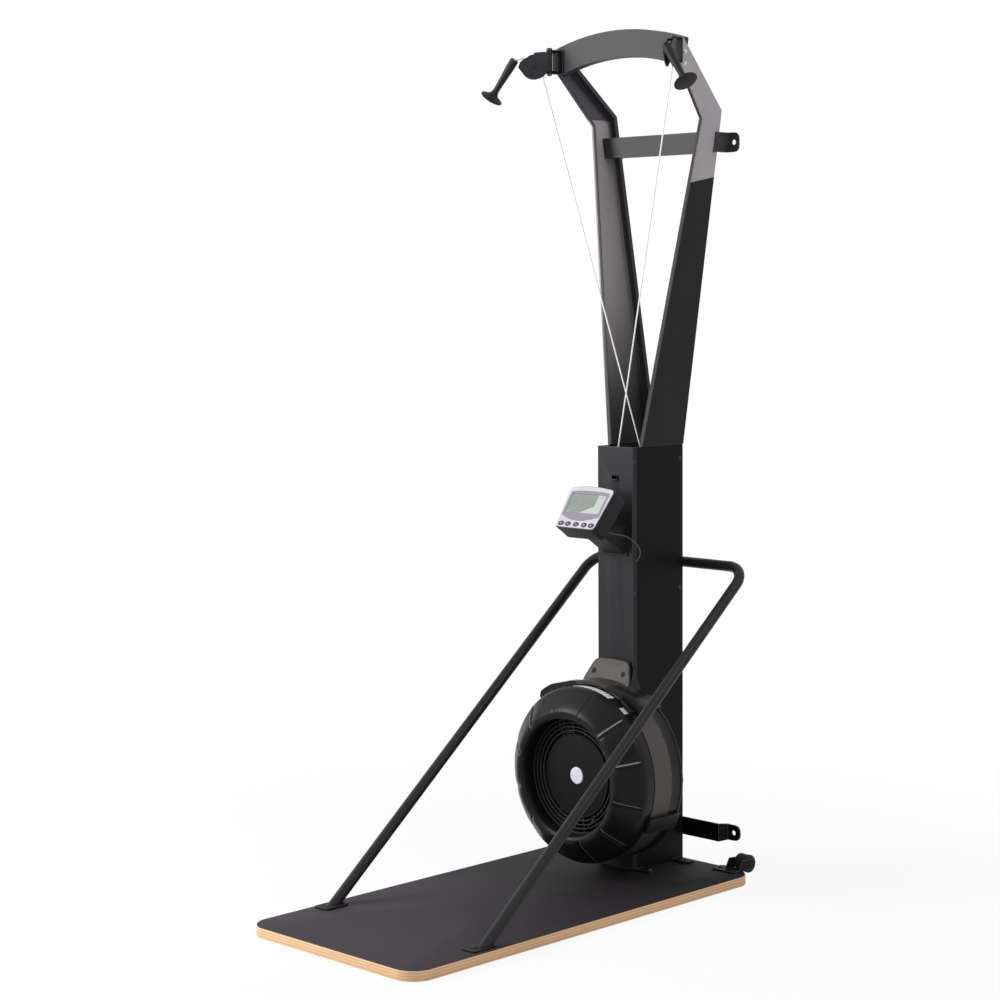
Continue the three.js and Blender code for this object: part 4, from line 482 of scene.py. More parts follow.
@a_finish
def plywood(graph, plies, height):
    """Place among the plies is height over thickness. Every other ply is cut across its grain."""
    ply = graph.parts("Z")[0] * (plies / height)
    cross = (ply * 0.5 % 1.0) > 0.5
    glue = (ply % 1.0 < 0.1) * 0.45
    pores = graph.noise(900.0, 2.0, (1.0, 1.0, 0.3))
    grain = graph.noise(60.0, 5.0, (1.0, 0.12, 6.0)) * (1 - cross) + graph.noise(420.0, 3.0) * cross
    pale = graph.mix(cross, (0.89, 0.63, 0.38), (0.75, 0.48, 0.27))
    deep = graph.mix(cross, (0.66, 0.4, 0.21), (0.53, 0.31, 0.16))
    wood = graph.mix(grain * 0.75 + glue, pale, deep)
    graph.shade(graph.mix((pores > 0.66) * 0.4, wood, (0.2, 0.1, 0.05)), 0.5 + grain * 0.15, 0.35,
                (grain - glue, 0.0002, 0.5))


@a_finish
def pressed_film(graph, colour, pitch):
    """A square net of small raised cells, 0 between them and 1 on top, with slow patches. The
    cells' tops are painted lighter than the grooves, a painted shade between them, and the film has
    painted shade towards the column."""
    x, y = graph.parts("XY")
    cell = wave(x / pitch) * wave(y / pitch)
    patch, speck = graph.noise(3.0, 5.0), graph.noise(260.0, 3.0)
    # Painted shade towards the column.
    painted_shade_near_column = graph.smooth(y + patch * 0.2, 0.55, -0.45)
    # Painted shade in the grooves: the raised cells come out lighter.
    film = graph.mix(cell * 0.35 + patch * 0.35 + speck * 0.3, colour, scaled(colour, 1.5))
    graph.shade(graph.mix(painted_shade_near_column, scaled(colour, 0.32), film), 0.62 + patch * 0.15, 0.12,
                (cell + speck * 0.4, 0.0003, 0.6))


rope_braid = braid("rope_braid", (0.93, 0.93, 0.92), 4.0)
board_wood = plywood("board_wood", 7, 0.025)
deck_film = pressed_film("deck_film", (0.036, 0.0315, 0.036), 0.0032)
print("with rope, wood and film,", len(bpy.data.materials), "materials")

# %% [markdown]
# The screen is one sheet of glass over two tones of green grey, a painted reflection parted by a
# slanting dark line. Each key has one plain light mark. Both are drawn from the place on the
# console's leaning face.

# %% Screen glass and keys
CONSOLE_LEAN = np.radians(53.3)
CONSOLE_FACE = np.array([0.0, 0.282, 1.003])
KEY_LINE = -0.05


def up_the_face(graph):
    """Up the face is y times the cosine plus z times the sine of its lean, both from its middle."""
    x, y, z = graph.parts("XYZ")
    across, above = y - float(CONSOLE_FACE[1]), z - float(CONSOLE_FACE[2])
    return x, across * float(np.cos(CONSOLE_LEAN)) + above * float(np.sin(CONSOLE_LEAN))


@a_finish
def screen_glass(graph):
    x, up = up_the_face(graph)
    rise = up - x * 0.52 + 0.0084
    left = x < 0.033
    line = (rise * rise < 0.0000008) * left
    cloud = graph.noise(30.0)
    # Painted reflection: the pale tone below the slanting line and at the right, with a dark line
    # along it.
    tone = graph.mix(1 - (rise > 0.0) * left, (0.17, 0.205, 0.185), (0.46, 0.48, 0.465))
    tone = graph.mix(cloud * 0.25, tone, (0.5, 0.53, 0.51))
    graph.shade(graph.mix(line * 0.7, tone, (0.1, 0.12, 0.11)), 0.38 + cloud * 0.06, 0.4)


@a_finish
def key_plastic(graph, number, middle):
    """A light mark on dark plastic: a level bar on two of the keys and a cross on the others."""
    x, up = up_the_face(graph)
    across, above = x - middle, up - KEY_LINE
    level = (across * across < 0.000008) * (above * above < 0.0000005)
    upright = (across * across < 0.0000005) * (above * above < 0.000006)
    mark = level if number in (2, 3) else 1 - (1 - level) * (1 - upright)
    smear = graph.noise(200.0)
    marked = graph.mix(mark * 0.9, (0.03, 0.03, 0.033), (0.6, 0.6, 0.6))
    graph.shade(marked, 0.42 + smear * 0.1, 0.4, (smear, 0.00002, 0.5))


lcd_glass = screen_glass("lcd_glass")
print("the screen's finish:", lcd_glass.name)

# %% [markdown]
# ## The console's cable
# One thin cable hangs free between the console's back and the column's side. Its route is a short
# list of given points, a smooth curve runs through them, and its length is summed along that
# curve.

# %% Hang the cable
def smooth_route(points, count):
    """A smooth curve through every point: between p1 and p2, with p0 before and p3 after, it is
    (2 p1 + (p2 - p0) t + (2 p0 - 5 p1 + 4 p2 - p3) t^2 + (3 p1 - p0 - 3 p2 + p3) t^3) / 2."""
    p = np.array(points)
    p = np.vstack([2 * p[0] - p[1], p, 2 * p[-1] - p[-2]])
    at = np.linspace(0, len(p) - 3, count, endpoint=False)
    i, t = at.astype(int), (at % 1.0)[:, None]
    a, b, c, d = (p[i + k] for k in range(4))
    curve = (2 * b + (c - a) * t + (2 * a - 5 * b + 4 * c - d) * t**2
             + (3 * b - a - 3 * c + d) * t**3)
    return np.vstack([curve / 2, p[-2]])


def on_console(points):
    """From the console's own axes, across, up its face and out of it, to the machine's: the face is
    leant back by the angle a, so up is (0, cos a, sin a) and out is (0, -sin a, cos a)."""
    x, up, out = np.moveaxis(np.array(points), -1, 0)
    c, s = np.cos(CONSOLE_LEAN), np.sin(CONSOLE_LEAN)
    return np.stack([x, c * up - s * out, s * up + c * out], -1) + CONSOLE_FACE


CABLE_RADIUS = 0.00175
cable_start = on_console([0.05, -0.028, -0.0613])
cable_route = smooth_route([cable_start, on_console([0.05, -0.028, -0.0673]), (0.062, 0.345, 0.934),
                            (0.076, 0.364, 0.928), (0.085, 0.39, 0.908), (0.085, 0.407, 0.884),
                            (0.0708, 0.412, 0.862), (0.0648, 0.412, 0.862)], 60)
cable_length = float(np.linalg.norm(np.diff(cable_route, axis=0), axis=1).sum())
console_cord = make_piece("console_cord", carried(cable_route, CABLE_RADIUS, 16), cable_skin,
                          "console_cable", sharp=35)
print("the cable is", round(cable_length * 1000), "mm long")

# %% [markdown]
# ## Steel that keeps the model's shape
# Real sheet has no perfectly sharp corner, and a black machine is read by the bright lines along
# its edges. So each of these solids is copied, its triangles become whole faces again, and a bevel
# with a slightly brighter coat, a painted highlight, rounds the edges. The fan's neck leans back
# here, as in the photograph.

# %% Soften solids of the model
def softened(node, coat, rim, edge=0.0007, sharp=30.0):
    """A copy of the node's mesh, cleaned to its real faces, with rounded edges."""
    mesh = bpy.data.meshes.new(node + "_soft")
    welded(frame["nodes"][node].data, mesh, lambda work: bmesh.ops.dissolve_limit(
        work, angle_limit=np.radians(0.6), verts=work.verts, edges=work.edges))
    return settle(linked(node + "_soft", mesh), [coat, rim], node, edge=edge, sharp=sharp)


STEEL = ("column_frame lower_wall_bar brace_foot_left brace_foot_right swivel_bracket_left "
         "swivel_bracket_right wheel_bracket_left wheel_bracket_right")
softened("column_front_cover", front_coat, black_edge_painted_highlight)
for nodes, *how in ((STEEL, black_coat, black_edge_painted_highlight),
                    ("arm_left", web_coat, arm_edge_painted_highlight),
                    ("arch_bar upper_wall_bar upper_wall_ear_left upper_wall_ear_right", arm_coat,
                     arm_edge_painted_highlight),
                    ("arm_right", panel_coat, arm_edge_painted_highlight),
                    ("pulley_head_left pulley_head_right", head_plastic, head_plastic, 0.0009),
                    ("console_bracket", dull_plastic, dull_plastic, 0.0012, 12.0),
                    ("fan_rear_shell", fan_plastic, shell_edge, 0.0012),
                    ("damper_ring", dull_plastic, dull_plastic, 0.0005),
                    ("guide_bracket drive_plate", zinc, zinc, 0.0004)):
    for node in nodes.split():
        softened(node, *how)

NECK_FOOT, NECK_LEAN, NECK_BEHIND, COLUMN_FRONT = 0.525, 0.45, 0.004, 0.4015


def leant_back(points):
    """The fan's neck leans towards the column behind its plate: y grows by the lean times the
    height above its foot, and by 4 mm that the plate fills, but stays in front of the column. The
    neck is what lies above 0.53, within 0.11 of the middle and in front of 0.385."""
    x, y, z = points.T
    on_neck = (z > 0.53) * (np.abs(x) < 0.11) * (y < 0.385)
    leant = np.minimum(y + NECK_LEAN * (z - NECK_FOOT) + NECK_BEHIND, COLUMN_FRONT)
    return np.column_stack([x, np.where(on_neck, leant, y), z])


rear_shell = bpy.data.objects["fan_rear_shell_soft"]
places = np.empty(3 * len(rear_shell.data.vertices), np.float32)
rear_shell.data.vertices.foreach_get("co", places)
rear_shell.data.vertices.foreach_set("co", leant_back(places.reshape(-1, 3).astype(float)).ravel())
rear_shell.modifiers["soft_edge"].use_clamp_overlap = True

# %% [markdown]
# ## Plates from an outline
# A plate with rounded corners and rounded edges is a stack of outlines. Each level is the same
# outline, drawn in a little and set at its height, and the first and last close to their middle.

# %% Stack outlines into a plate
def rounded_outline(half_x, half_y, corner, steps=16):
    """Four quarter circles in a row. Corner k has its middle at the half sizes less the radius,
    with signs that go round, and its points are that middle plus the radius times (cos, sin)."""
    angle = np.radians(np.linspace(0, 90, steps + 1)[None, :] + 90 * np.arange(4)[:, None])
    sign = np.array([[1, 1], [-1, 1], [-1, -1], [1, -1]])[:, None, :]
    middle = sign * (np.array([half_x, half_y]) - corner)
    return (middle + corner * np.stack([np.cos(angle), np.sin(angle)], -1)).reshape(-1, 2)


def levelled(outlines, heights):
    """Each outline as a ring of points at its height."""
    return [np.column_stack([line, np.full(len(line), height)])
            for line, height in zip(outlines, heights)]


def stacked(outlines, heights):
    """Rings of one outline each, closed at both ends by the middle of the end ring."""
    rings = levelled(outlines, heights)
    middles = [np.repeat(ring.mean(0)[None], len(ring), 0) for ring in (rings[0], rings[-1])]
    return grid(np.stack([middles[0], *rings, middles[1]]), False, True)


def platform(*levels):
    """The platform's outline, drawn in by each level's first number and set at its second."""
    return stacked([rounded_outline(0.3 - draw, 0.62 - draw, 0.06 - draw) for draw, _ in levels],
                   [height for _, height in levels])


board = platform((0.0015, 0.0), (0.0004, 0.0004), (0.0, 0.0015), (0.0, 0.0235), (0.0004, 0.0246),
                 (0.0015, 0.025))
deck = platform((0.0015, 0.025), (0.0015, 0.0258), (0.0018, 0.0264), (0.0025, 0.0267))
make_piece("board", board, board_wood, "base_board", sharp=50)
make_piece("deck", deck, deck_film, "deck_surface", sharp=60)

# %% [markdown]
# ## The brace
# One tube is bent into a hoop. Its path is straight runs joined by arcs, and its feet are cut
# level: the tube's end rings slide along it until they lie in that plane.

# %% Bend the hoop
def bent_path(corners, radius, steps):
    """Straight runs joined by arcs. With unit directions u and v out of a corner, the turn is
    t = arccos(u . v), and the arc's middle lies along v - u from the corner at r / cos(t / 2)."""
    path = [corners[:1]]
    for before, corner, after in zip(corners, corners[1:], corners[2:]):
        u, v = unit(corner - before), unit(after - corner)
        turn = np.arccos(u @ v)
        inward = unit(v - u)
        middle = corner + inward * radius / np.cos(turn / 2)
        angle = np.linspace(-turn / 2, turn / 2, steps)[:, None]
        path.append(middle - inward * radius * np.cos(angle) + unit(u + v) * radius * np.sin(angle))
    return np.vstack([*path, corners[-1:]])


def cut_level(points, sides, level, direction):
    """Slides the end rings and their poles along the tube to a level: p + d (level - p.z) / d.z."""
    points = points.copy()
    for rows in (slice(0, 2 * sides), slice(-2 * sides, None)):
        here = points[rows]
        points[rows] = here + direction * ((level - here[:, 2]) / direction[2])[:, None]
    return points


FOOT, TOP = np.array([0.27, -0.3634, 0.0267]), np.array([0.27, 0.6243, 0.838])
LEFT, TUBE_SIDES, CUT_HEIGHT = [-1, 1, 1], 32, 0.032
hoop_path = bent_path([FOOT * LEFT, TOP * LEFT, TOP, FOOT], radius=0.062, steps=24)
hoop = carried(hoop_path, 0.014, TUBE_SIDES, (0.3, 0.2, 0.93))
hoop = moved(hoop, lambda p: cut_level(p, TUBE_SIDES, CUT_HEIGHT, unit([0.0, 0.9877, 0.8113])))
make_piece("brace_tube", hoop, tube_coat, "brace_hoop", sharp=50)

# %% [markdown]
# ## Turning pieces
# Pulleys, wheels and pins are profiles turned round their axis. The pulleys in the heads are then
# swung outwards with the head, about its upright pin.

# %% Turn the pulleys, pins and wheels
def at(place, swing=0.0):
    """Turns points about the upright by the swing s, then moves them: (x cos s - y sin s,
    x sin s + y cos s, z)."""
    c, s = np.cos(swing), np.sin(swing)
    return lambda p: np.column_stack([p[:, 0] * c - p[:, 1] * s, p[:, 0] * s + p[:, 1] * c,
                                      p[:, 2]]) + place


def mirrored(half, *middle):
    """A closed profile: one side, what lies between, the side's mirror image, and its first
    point."""
    other_side = [(radius, -place) for radius, place in reversed(half)]
    return np.vstack([half, *middle, other_side, half[:1]])


def groove_profile(bore, rim, floor, half, rope, bulge=0.0008):
    """Across a pulley: bore, flat side with a rounded rim, a round groove to the floor, and
    back."""
    angle = np.radians(np.linspace(-90, 90, 9))
    groove = np.column_stack([floor + rope - rope * np.cos(angle), rope * np.sin(angle)])
    return mirrored([(bore, -half), (rim * 0.55, -half), (rim * 0.6, -half + bulge),
                     (rim * 0.84, -half + bulge), (rim * 0.88, -half), (rim - bulge, -half),
                     (rim, -half + bulge)], groove)


SIDES = ((-1, "left"), (1, "right"))
HEAD, HEAD_SWING = np.array([0.218, 0.386, 2.173]), np.radians(29.0)
GUIDE_HEIGHT, GUIDE_PLANE = 1.13, {-1: 0.4904, 1: 0.4334}
PIN = [(0, -0.0262), (0.0052, -0.0262), (0.0064, -0.025), (0.0064, -0.0212), (0.0045, -0.0212),
       (0.0045, 0.0432), (0.008, 0.0432), (0.008, 0.0462), (0.0066, 0.0477), (0.0048, 0.0482),
       (0, 0.0482)]
TREAD = mirrored([(0.0062, -0.02), (0.019, -0.02), (0.0215, -0.0193), (0.0233, -0.0175),
                  (0.024, -0.0155), (0.024, -0.012), (0.0234, -0.0115)])
for side, word in SIDES:
    head = HEAD * [side, 1, 1]
    sheave = turned(groove_profile(0.0046, 0.03, 0.0237, 0.0046, 0.0023), "X", 72)
    sheave = moved(sheave, lambda p: p + np.array([0, -0.042, 0]))
    guide = turned(groove_profile(0.0065, 0.024, 0.0177, 0.005, 0.0023), "Y", 64)
    for name, shape, place, look, node in (
            ("sheave", sheave, at(head, side * HEAD_SWING), head_plastic, "head_pulley"),
            ("pin", turned(PIN, "Z", 40), at(head), pin_steel, "swivel_pin"),
            ("roller", turned(TREAD, "X", 72), at((side * 0.246, 0.645, 0.04)), tyre_rubber,
             "transport_wheel"),
            ("guide_wheel", guide, at((0, GUIDE_PLANE[side], GUIDE_HEIGHT)), head_plastic,
             "guide_pulley")):
        make_piece(f"{name}_{word}", moved(shape, place), look, f"{node}_{word}", sharp=35)
print("turned the pulleys, pins and rollers")

# %% [markdown]
# ## The fan's moulded shell
# The front of the fan is one deep moulding, a fat ring with an open middle. Twelve creases run
# across it like the segments of a shell, each a dark valley with a raised lip on one side. The ring
# is turned like any other, but every point is also pushed along the section's own normal, by a
# depth that depends on how far round it lies from the nearest crease.

# %% Turn the ring and press its creases
def closed_normals(line):
    """For a closed profile, the difference of the two neighbours turned by a quarter: (dy, -dr)."""
    ahead = np.roll(line, -1, 0) - np.roll(line, 1, 0)
    return unit(np.column_stack([ahead[:, 1], -ahead[:, 0]]))


def bell(x, middle, width):
    """exp(-((x - middle) / width)^2)"""
    return np.exp(-((x - middle) / width) ** 2)


SHOULDER = [(0.233, 0.262), (0.2316, 0.2562), (0.225, 0.2488), (0.21, 0.2352), (0.195, 0.2218),
            (0.182, 0.2116), (0.172, 0.207), (0.164, 0.2062), (0.1575, 0.2092), (0.154, 0.215)]
RIM = [(0.23, 0.296), (0.2302, 0.2955), (0.2315, 0.284), (0.2326, 0.27)]
MOUTH = [(0.1528, 0.22), (0.152, 0.2245), (0.152, 0.254), (0.155, 0.254)]
CREASES = np.radians(15 + 30 * np.arange(12))
DEEP = np.array([1.0, 1.0, 0.15, 0.15, *[1.0] * 8])
# How strong the painted highlight is on each crease's lip, strongest at the upper right.
LIP_PAINTED_HIGHLIGHT = np.array([1.0, 1.0, 0.0, 0.0, *[0.35] * 8])


def creased_ring():
    """Radius and place from the profile, plus normal times depth. Across a crease, at a distance d
    along the circle, the lip is exp(-((d - 6.8) / 1.7)^2), the valley exp(-(d / 4.2)^2) and the
    pillow between creases 1 - exp(-(d / 16)^2), in millimetres. The two creases at the top are
    faint, and the two at the upper right carry the strongest painted highlight. The UV carries the
    lip's painted highlight and the valley's painted shade."""
    outer = smooth_route(SHOULDER, 72)
    back = outer[::-4]
    inner = back + np.where(back[:, :1] > 0.2, [[-0.0028, 0.0008]], [[-0.0003, 0.003]])
    line = np.vstack([RIM, outer, MOUTH, inner[2:-1], [(0.23, 0.28)]])
    share, on_outer = np.linspace(0, 1, len(outer)), slice(len(RIM), len(RIM) + len(outer))
    weight, swell = np.zeros((2, len(line), 1))
    weight[on_outer, 0] = np.clip((share - 0.12) / 0.1, 0, 1) * np.clip((0.74 - share) / 0.1, 0, 1)
    swell[on_outer, 0] = 0.0009 * bell(share, 0.93, 0.025) - 0.0007 * bell(share, 0.05, 0.02)
    near = (CREASES[:, None] + np.linspace(-0.05, 0.05, 25)).ravel()
    even_steps = np.linspace(0, 2 * np.pi, 192, endpoint=False)
    around = np.unique(np.round(np.concatenate([even_steps, near]), 5))
    away = (around[:, None] - CREASES + np.pi) % (2 * np.pi) - np.pi
    which = np.abs(away).argmin(1)
    deep, d = DEEP[which], 1000 * line[:, :1] * away[np.arange(len(around)), which]
    lip, valley = deep * bell(d, 6.8, 1.7), deep * bell(d, 0, 4.2)
    pillow = 1 - deep * bell(d, 0, 16)
    push = weight * (0.0012 * lip - 0.003 * valley + 0.0016 * pillow) + swell
    normal = closed_normals(line)
    outward = np.sign(normal[30, 0] - normal[30, 1])
    radius, place = (line[:, [k]] + outward * normal[:, [k]] * push for k in (0, 1))
    points = np.stack([radius * np.cos(around), place, radius * np.sin(around)], -1)
    points, faces, _ = grid(points, True, True)
    measures = np.stack([weight * lip * LIP_PAINTED_HIGHLIGHT[which], weight * valley], -1).reshape(-1, 2)
    return points, faces, measures[faces.ravel()]


FAN_MIDDLE = np.array([0, 0, 0.302])


def make_fan_piece(name, shape, *what, **how):
    """A piece drawn round the fan's axis and lifted to it."""
    make_piece(name, moved(shape, at(FAN_MIDDLE)), *what, **how)


make_fan_piece("fan_moulding", creased_ring(), creased_black, "fan_front_shell", sharp=60)

# %% [markdown]
# ## The fan's opening
# Behind the opening a round plate closes the middle, held by four rings and eighteen short spokes,
# little rounded bars laid along a radius. The white cap in the middle hides the axle's end.

# %% Build the grille and its cap
def rounded_ring(outer, front, width=0.0026, back=0.259, soft=0.0007):
    """A closed section with softened front corners, turned round the fan's axis."""
    inner = outer - width
    return turned([(inner, back), (inner, front + soft), (inner + soft, front),
                   (outer - soft, front), (outer, front + soft), (outer, back), (inner, back)],
                  "Y", 120)


def spoke(angle, half_length=0.0225, half_width=0.00175, middle=0.1292):
    """A rounded bar: its length lies along the radius, its height along the axis."""
    bar = stacked([rounded_outline(half_length, half_width - draw, half_width * 0.6)
                   for draw in (0, 0, 0.0006)], (0.259, 0.2566, 0.256))
    c, s = np.cos(angle), np.sin(angle)
    return moved(bar, lambda p: np.column_stack([(p[:, 0] + middle) * c - p[:, 1] * s, p[:, 2],
                                                 (p[:, 0] + middle) * s + p[:, 1] * c]))


plate = turned([(0, 0.2508), (0.106, 0.2508), (0.1078, 0.2511), (0.1095, 0.2503), (0.11, 0.251),
                (0.11, 0.259), (0.1, 0.259), (0.1, 0.2545), (0, 0.2545)], "Y", 120)
rings = [rounded_ring(0.1204, 0.249), rounded_ring(0.1309, 0.247), rounded_ring(0.1413, 0.245),
         rounded_ring(0.1517, 0.243)]
spokes = [spoke(np.radians(98 + 20 * k)) for k in range(18)]
cap = turned([(0, 0.2482), (0.0175, 0.2483), (0.0208, 0.2487), (0.0221, 0.2495), (0.0225, 0.2507),
              (0, 0.2507)], "Y", 72)
make_fan_piece("fan_plate", plate, disc_plastic, "fan_grille")
make_fan_piece("fan_rings", gathered(*rings, *spokes), ring_plastic, "fan_grille")
make_fan_piece("fan_cap", cap, cap_plastic, "fan_centre_cap", sharp=60)

# %% [markdown]
# ## The mesh band, the hood and the scale
# Air leaves through a band of fine mesh round the fan, open at the top under the hood. A turned
# piece that doesn't go all the way round needs ends. The white scale is such a part ring too, laid
# on the shell's rim, with plain marks across it.

# %% Turn part rings
HOOD_INSIDE = 0.2334


def capped(points):
    """The faces of a swept section whose two ends are closed by the section's middle."""
    ends = [np.repeat(points[:-1, [end]].mean(0, keepdims=True), len(points), 0) for end in (0, -1)]
    return grid(np.concatenate([ends[0], points, ends[1]], 1))


def part_ring(section, first, last, sides):
    """A closed section turned through part of a circle."""
    points = turned(section, "Y", sides, (first, last))[0]
    return capped(points.reshape(len(section), sides, 3))


def wing(turn, height):
    """A block beside the hood's roof. Its section is a box, and its outer radius follows the
    height, interpolated over the turn, so that it leaves the circle and ends in a shoulder."""
    around = np.linspace(turn[0], turn[-1], 60)
    outer, angle = np.interp(around, turn, height), np.radians(around)
    inner = 0 * outer + HOOD_INSIDE
    radius = np.stack([inner, outer - 0.0012, outer, outer, outer - 0.004, inner, inner])
    place = np.array([0.3056, 0.3056, 0.3068, 0.33, 0.348, 0.348, 0.3056])[:, None] + 0 * around
    return capped(np.stack([radius * np.cos(angle), place, radius * np.sin(angle)], -1))


@a_finish
def scale_print(graph, ink, marks):
    """White plastic with plain marks: dark where the place along the strip, cut into marks, is near
    the start of each, longer at every fifth."""
    across, along = graph.parts("XY", "UV")
    along = along * marks
    long_mark = (along / 5.0 % 1.0) < 0.06
    dark = (along % 1.0 < 0.22) * (1 - (1 - long_mark) * (across < 0.1))
    worn = graph.noise(160.0, 3.0)
    graph.shade(graph.mix(dark * 0.85, (0.86, 0.86, 0.88), ink), 0.38 + worn * 0.1,
                bump=(worn, 0.00001, 0.4))


BAND = [(0.23, 0.2963), (0.2316, 0.2963), (0.2316, 0.3647), (0.23, 0.3647), (0.23, 0.2963)]
ROOF = [(HOOD_INSIDE, 0.3062), (0.2425, 0.3062), (0.244, 0.3075), (0.244, 0.36), (0.243, 0.3638),
        (HOOD_INSIDE, 0.3638), (HOOD_INSIDE, 0.3062)]
STRIP = [(0.2338, 0.2705), (0.2332, 0.276), (0.2322, 0.2855), (0.2309, 0.295), (0.23, 0.295),
         (0.231, 0.2855), (0.232, 0.276), (0.2328, 0.2705), (0.2338, 0.2705)]
make_fan_piece("fan_mesh", part_ring(BAND, 131, 409, 220), mesh_steel, "fan_mesh_band", sharp=50)
make_fan_piece("hood_roof", part_ring(ROOF, 64, 116, 90), hood_plastic, "fan_rear_shell",
               replaces=False)
left_wing = wing([103.0, 107.0, 114.0, 119.0, 124.0, 130.0, 133.5, 136.0],
                 [0.2434, 0.2475, 0.2505, 0.256, 0.2625, 0.2665, 0.268, 0.26])
wings = gathered(left_wing, moved(left_wing, lambda p: p * LEFT))
make_fan_piece("hood_shoulders", wings, fan_plastic, "fan_rear_shell", replaces=False, sharp=35)
strips = gathered(part_ring(STRIP, 66, 97, 60), part_ring(STRIP, 50, 55.5, 20))
make_fan_piece("damper_scale", strips, scale_print("scale_white", (0.03, 0.03, 0.035), 10.0),
               "fan_centre_cap", replaces=False)

# %% [markdown]
# Some solids of the model are hidden deep in the column or the fan. They keep their shape and take
# a finish.

# %% Dress what stays
for look, nodes in ((fan_metal, "fan_impeller"), (zinc, "fan_axle front_bearing rear_bearing"),
                    (disc_plastic, "drive_spool_left drive_spool_right"),
                    (tyre_rubber, "return_cord_left return_cord_right")):
    for node in nodes.split():
        for place in frame["nodes"][node].material_slots:
            place.material = look
    print(nodes, "in", look.name)

# %% [markdown]
# ## The handles
# Each handle is a long plastic grip, narrow in the middle, with a wide mushroom at its foot so that
# a gloved hand can't slip off. The profile is a smooth curve through a few measured radii, its fine
# ribs are a small cosine, and the whole is turned upright and laid along the handle's direction.

# %% Turn the handles
def laid_along(start, direction):
    """Sends the upright axis to a direction w: p goes to start + x u + y v + z w, where u is square
    to w and level, and v is w cross u."""
    w = unit(direction)
    u = unit(np.cross([0, 0, 1], w))
    return lambda p: p @ np.stack([u, np.cross(w, u), w]) + start


GRIP = np.array([0.031, 0.129])
HANDLE_TOP, HANDLE_WAY = np.array([0.26503, 0.30116, 2.187]), np.array([0.611, -0.102, -0.785])
grip_shares = np.array([(0, 0), (0.15, 0), (0.3, 0.002), (0.37, 0.03), (0.37, 0.22), (0.31, 0.5),
                        (0.275, 0.72), (0.315, 0.82), (0.5, 0.89), (0.9, 0.935), (1.0, 0.955),
                        (0.96, 0.975), (0.6, 0.992), (0.3, 0.998), (0, 1)])
grip = np.clip(smooth_route(grip_shares * GRIP, 420), 0, GRIP)
share = grip[:, 1] / GRIP[1]
ribbed = np.clip((share - 0.04) / 0.03, 0, 1) * np.clip((0.8 - share) / 0.03, 0, 1)
grip[:, 0] -= 0.00035 * ribbed * (0.5 - 0.5 * np.cos(2 * np.pi * grip[:, 1] / 0.0034))
for side, word in SIDES:
    laid = laid_along(HANDLE_TOP * [side, 1, 1], HANDLE_WAY * [side, 1, 1])
    make_piece(f"grip_{word}", moved(turned(grip, "Z", 72), laid), grip_plastic, f"handle_{word}",
               sharp=70)

# %% [markdown]
# ## The pulley heads' cheeks
# Each pulley turns between two flat cheeks with a round belly and a beak that keeps the rope in. A
# thin plate and a turned hub lie on each cheek of the model. They are drawn in the head's own
# plane, as reach from its pin and height, and then set across it.

# %% Lay the cheeks
PULLEY_REACH, BELLY = 0.042, 0.0362


def in_head(side, reach, height, offset=0.0):
    """A point of the head, turned by a: out from the pin along (sin a, -cos a), up, and off the
    middle plane along (cos a, side sin a)."""
    reach, height, offset = np.broadcast_arrays(reach, height, offset)
    c, s = np.cos(HEAD_SWING), np.sin(HEAD_SWING)
    return np.stack([side * (HEAD[0] + reach * s) + offset * c,
                     HEAD[1] - reach * c + offset * (side * s), HEAD[2] + height], -1)


def cheek_outline():
    """Straight runs, a quadratic curve for the crown, (1 - t)^2 a + 2 t (1 - t) b + t^2 c, and an
    arc for the belly."""
    t = np.linspace(0, 1, 20)[:, None]
    a, b, c = np.array([0.0168, 0.0371]), np.array([0.0525, 0.0331]), np.array([0.079, 0.0101])
    crown = (1 - t) ** 2 * a + 2 * t * (1 - t) * b + t**2 * c
    angle = np.radians(np.linspace(-28.8, -153, 40))
    belly = np.column_stack([PULLEY_REACH + BELLY * np.cos(angle), BELLY * np.sin(angle)])
    return np.vstack([[(0.0045, -0.011), (0.0045, 0.033)], crown, [(0.0848, -0.005)], belly])


line, belly_middle = cheek_outline(), np.array([PULLEY_REACH, 0.004])
drawn = [belly_middle + (line - belly_middle) * (1 - draw) for draw in (0, 0, 0.01, 0.03)]
hub = turned([(0, 0.0099), (0.0082, 0.0099), (0.0082, 0.0122), (0.0074, 0.013), (0.004, 0.0131),
              (0.0036, 0.0124), (0, 0.0124)], "Z", 40)
flat_cheeks = []
for sign in (-1, 1):
    flat_cheeks.append(stacked(drawn, sign * np.array([0.0075, 0.0094, 0.0098, 0.01])))
    flat_cheeks.append(moved(hub, lambda p: p * [1, 1, sign] + [PULLEY_REACH, 0, 0]))
for side, word in SIDES:
    cheeks = moved(gathered(*flat_cheeks), lambda p: in_head(side, *p.T))
    make_piece(f"cheeks_{word}", cheeks, head_plastic, f"pulley_head_{word}", replaces=False)

# %% [markdown]
# ## The ropes
# A rope's path is laid out with evenly spaced points, so that the braid on its UV map keeps one
# pitch. The long rope rises from its drum over the guide wheel to the pulley head, another lies on
# the head's pulley, and a short one goes on to the handle. The long and the short one each end on
# two bodies, so they ride on none and keep their place.

# %% Lay the ropes
GUIDE_RADIUS, SPOOL_HEIGHT, KNEE_SHARE = 0.02, 0.303, 0.12
ROPE_TOP = np.array([0.2258, 0.3719, 2.1341])


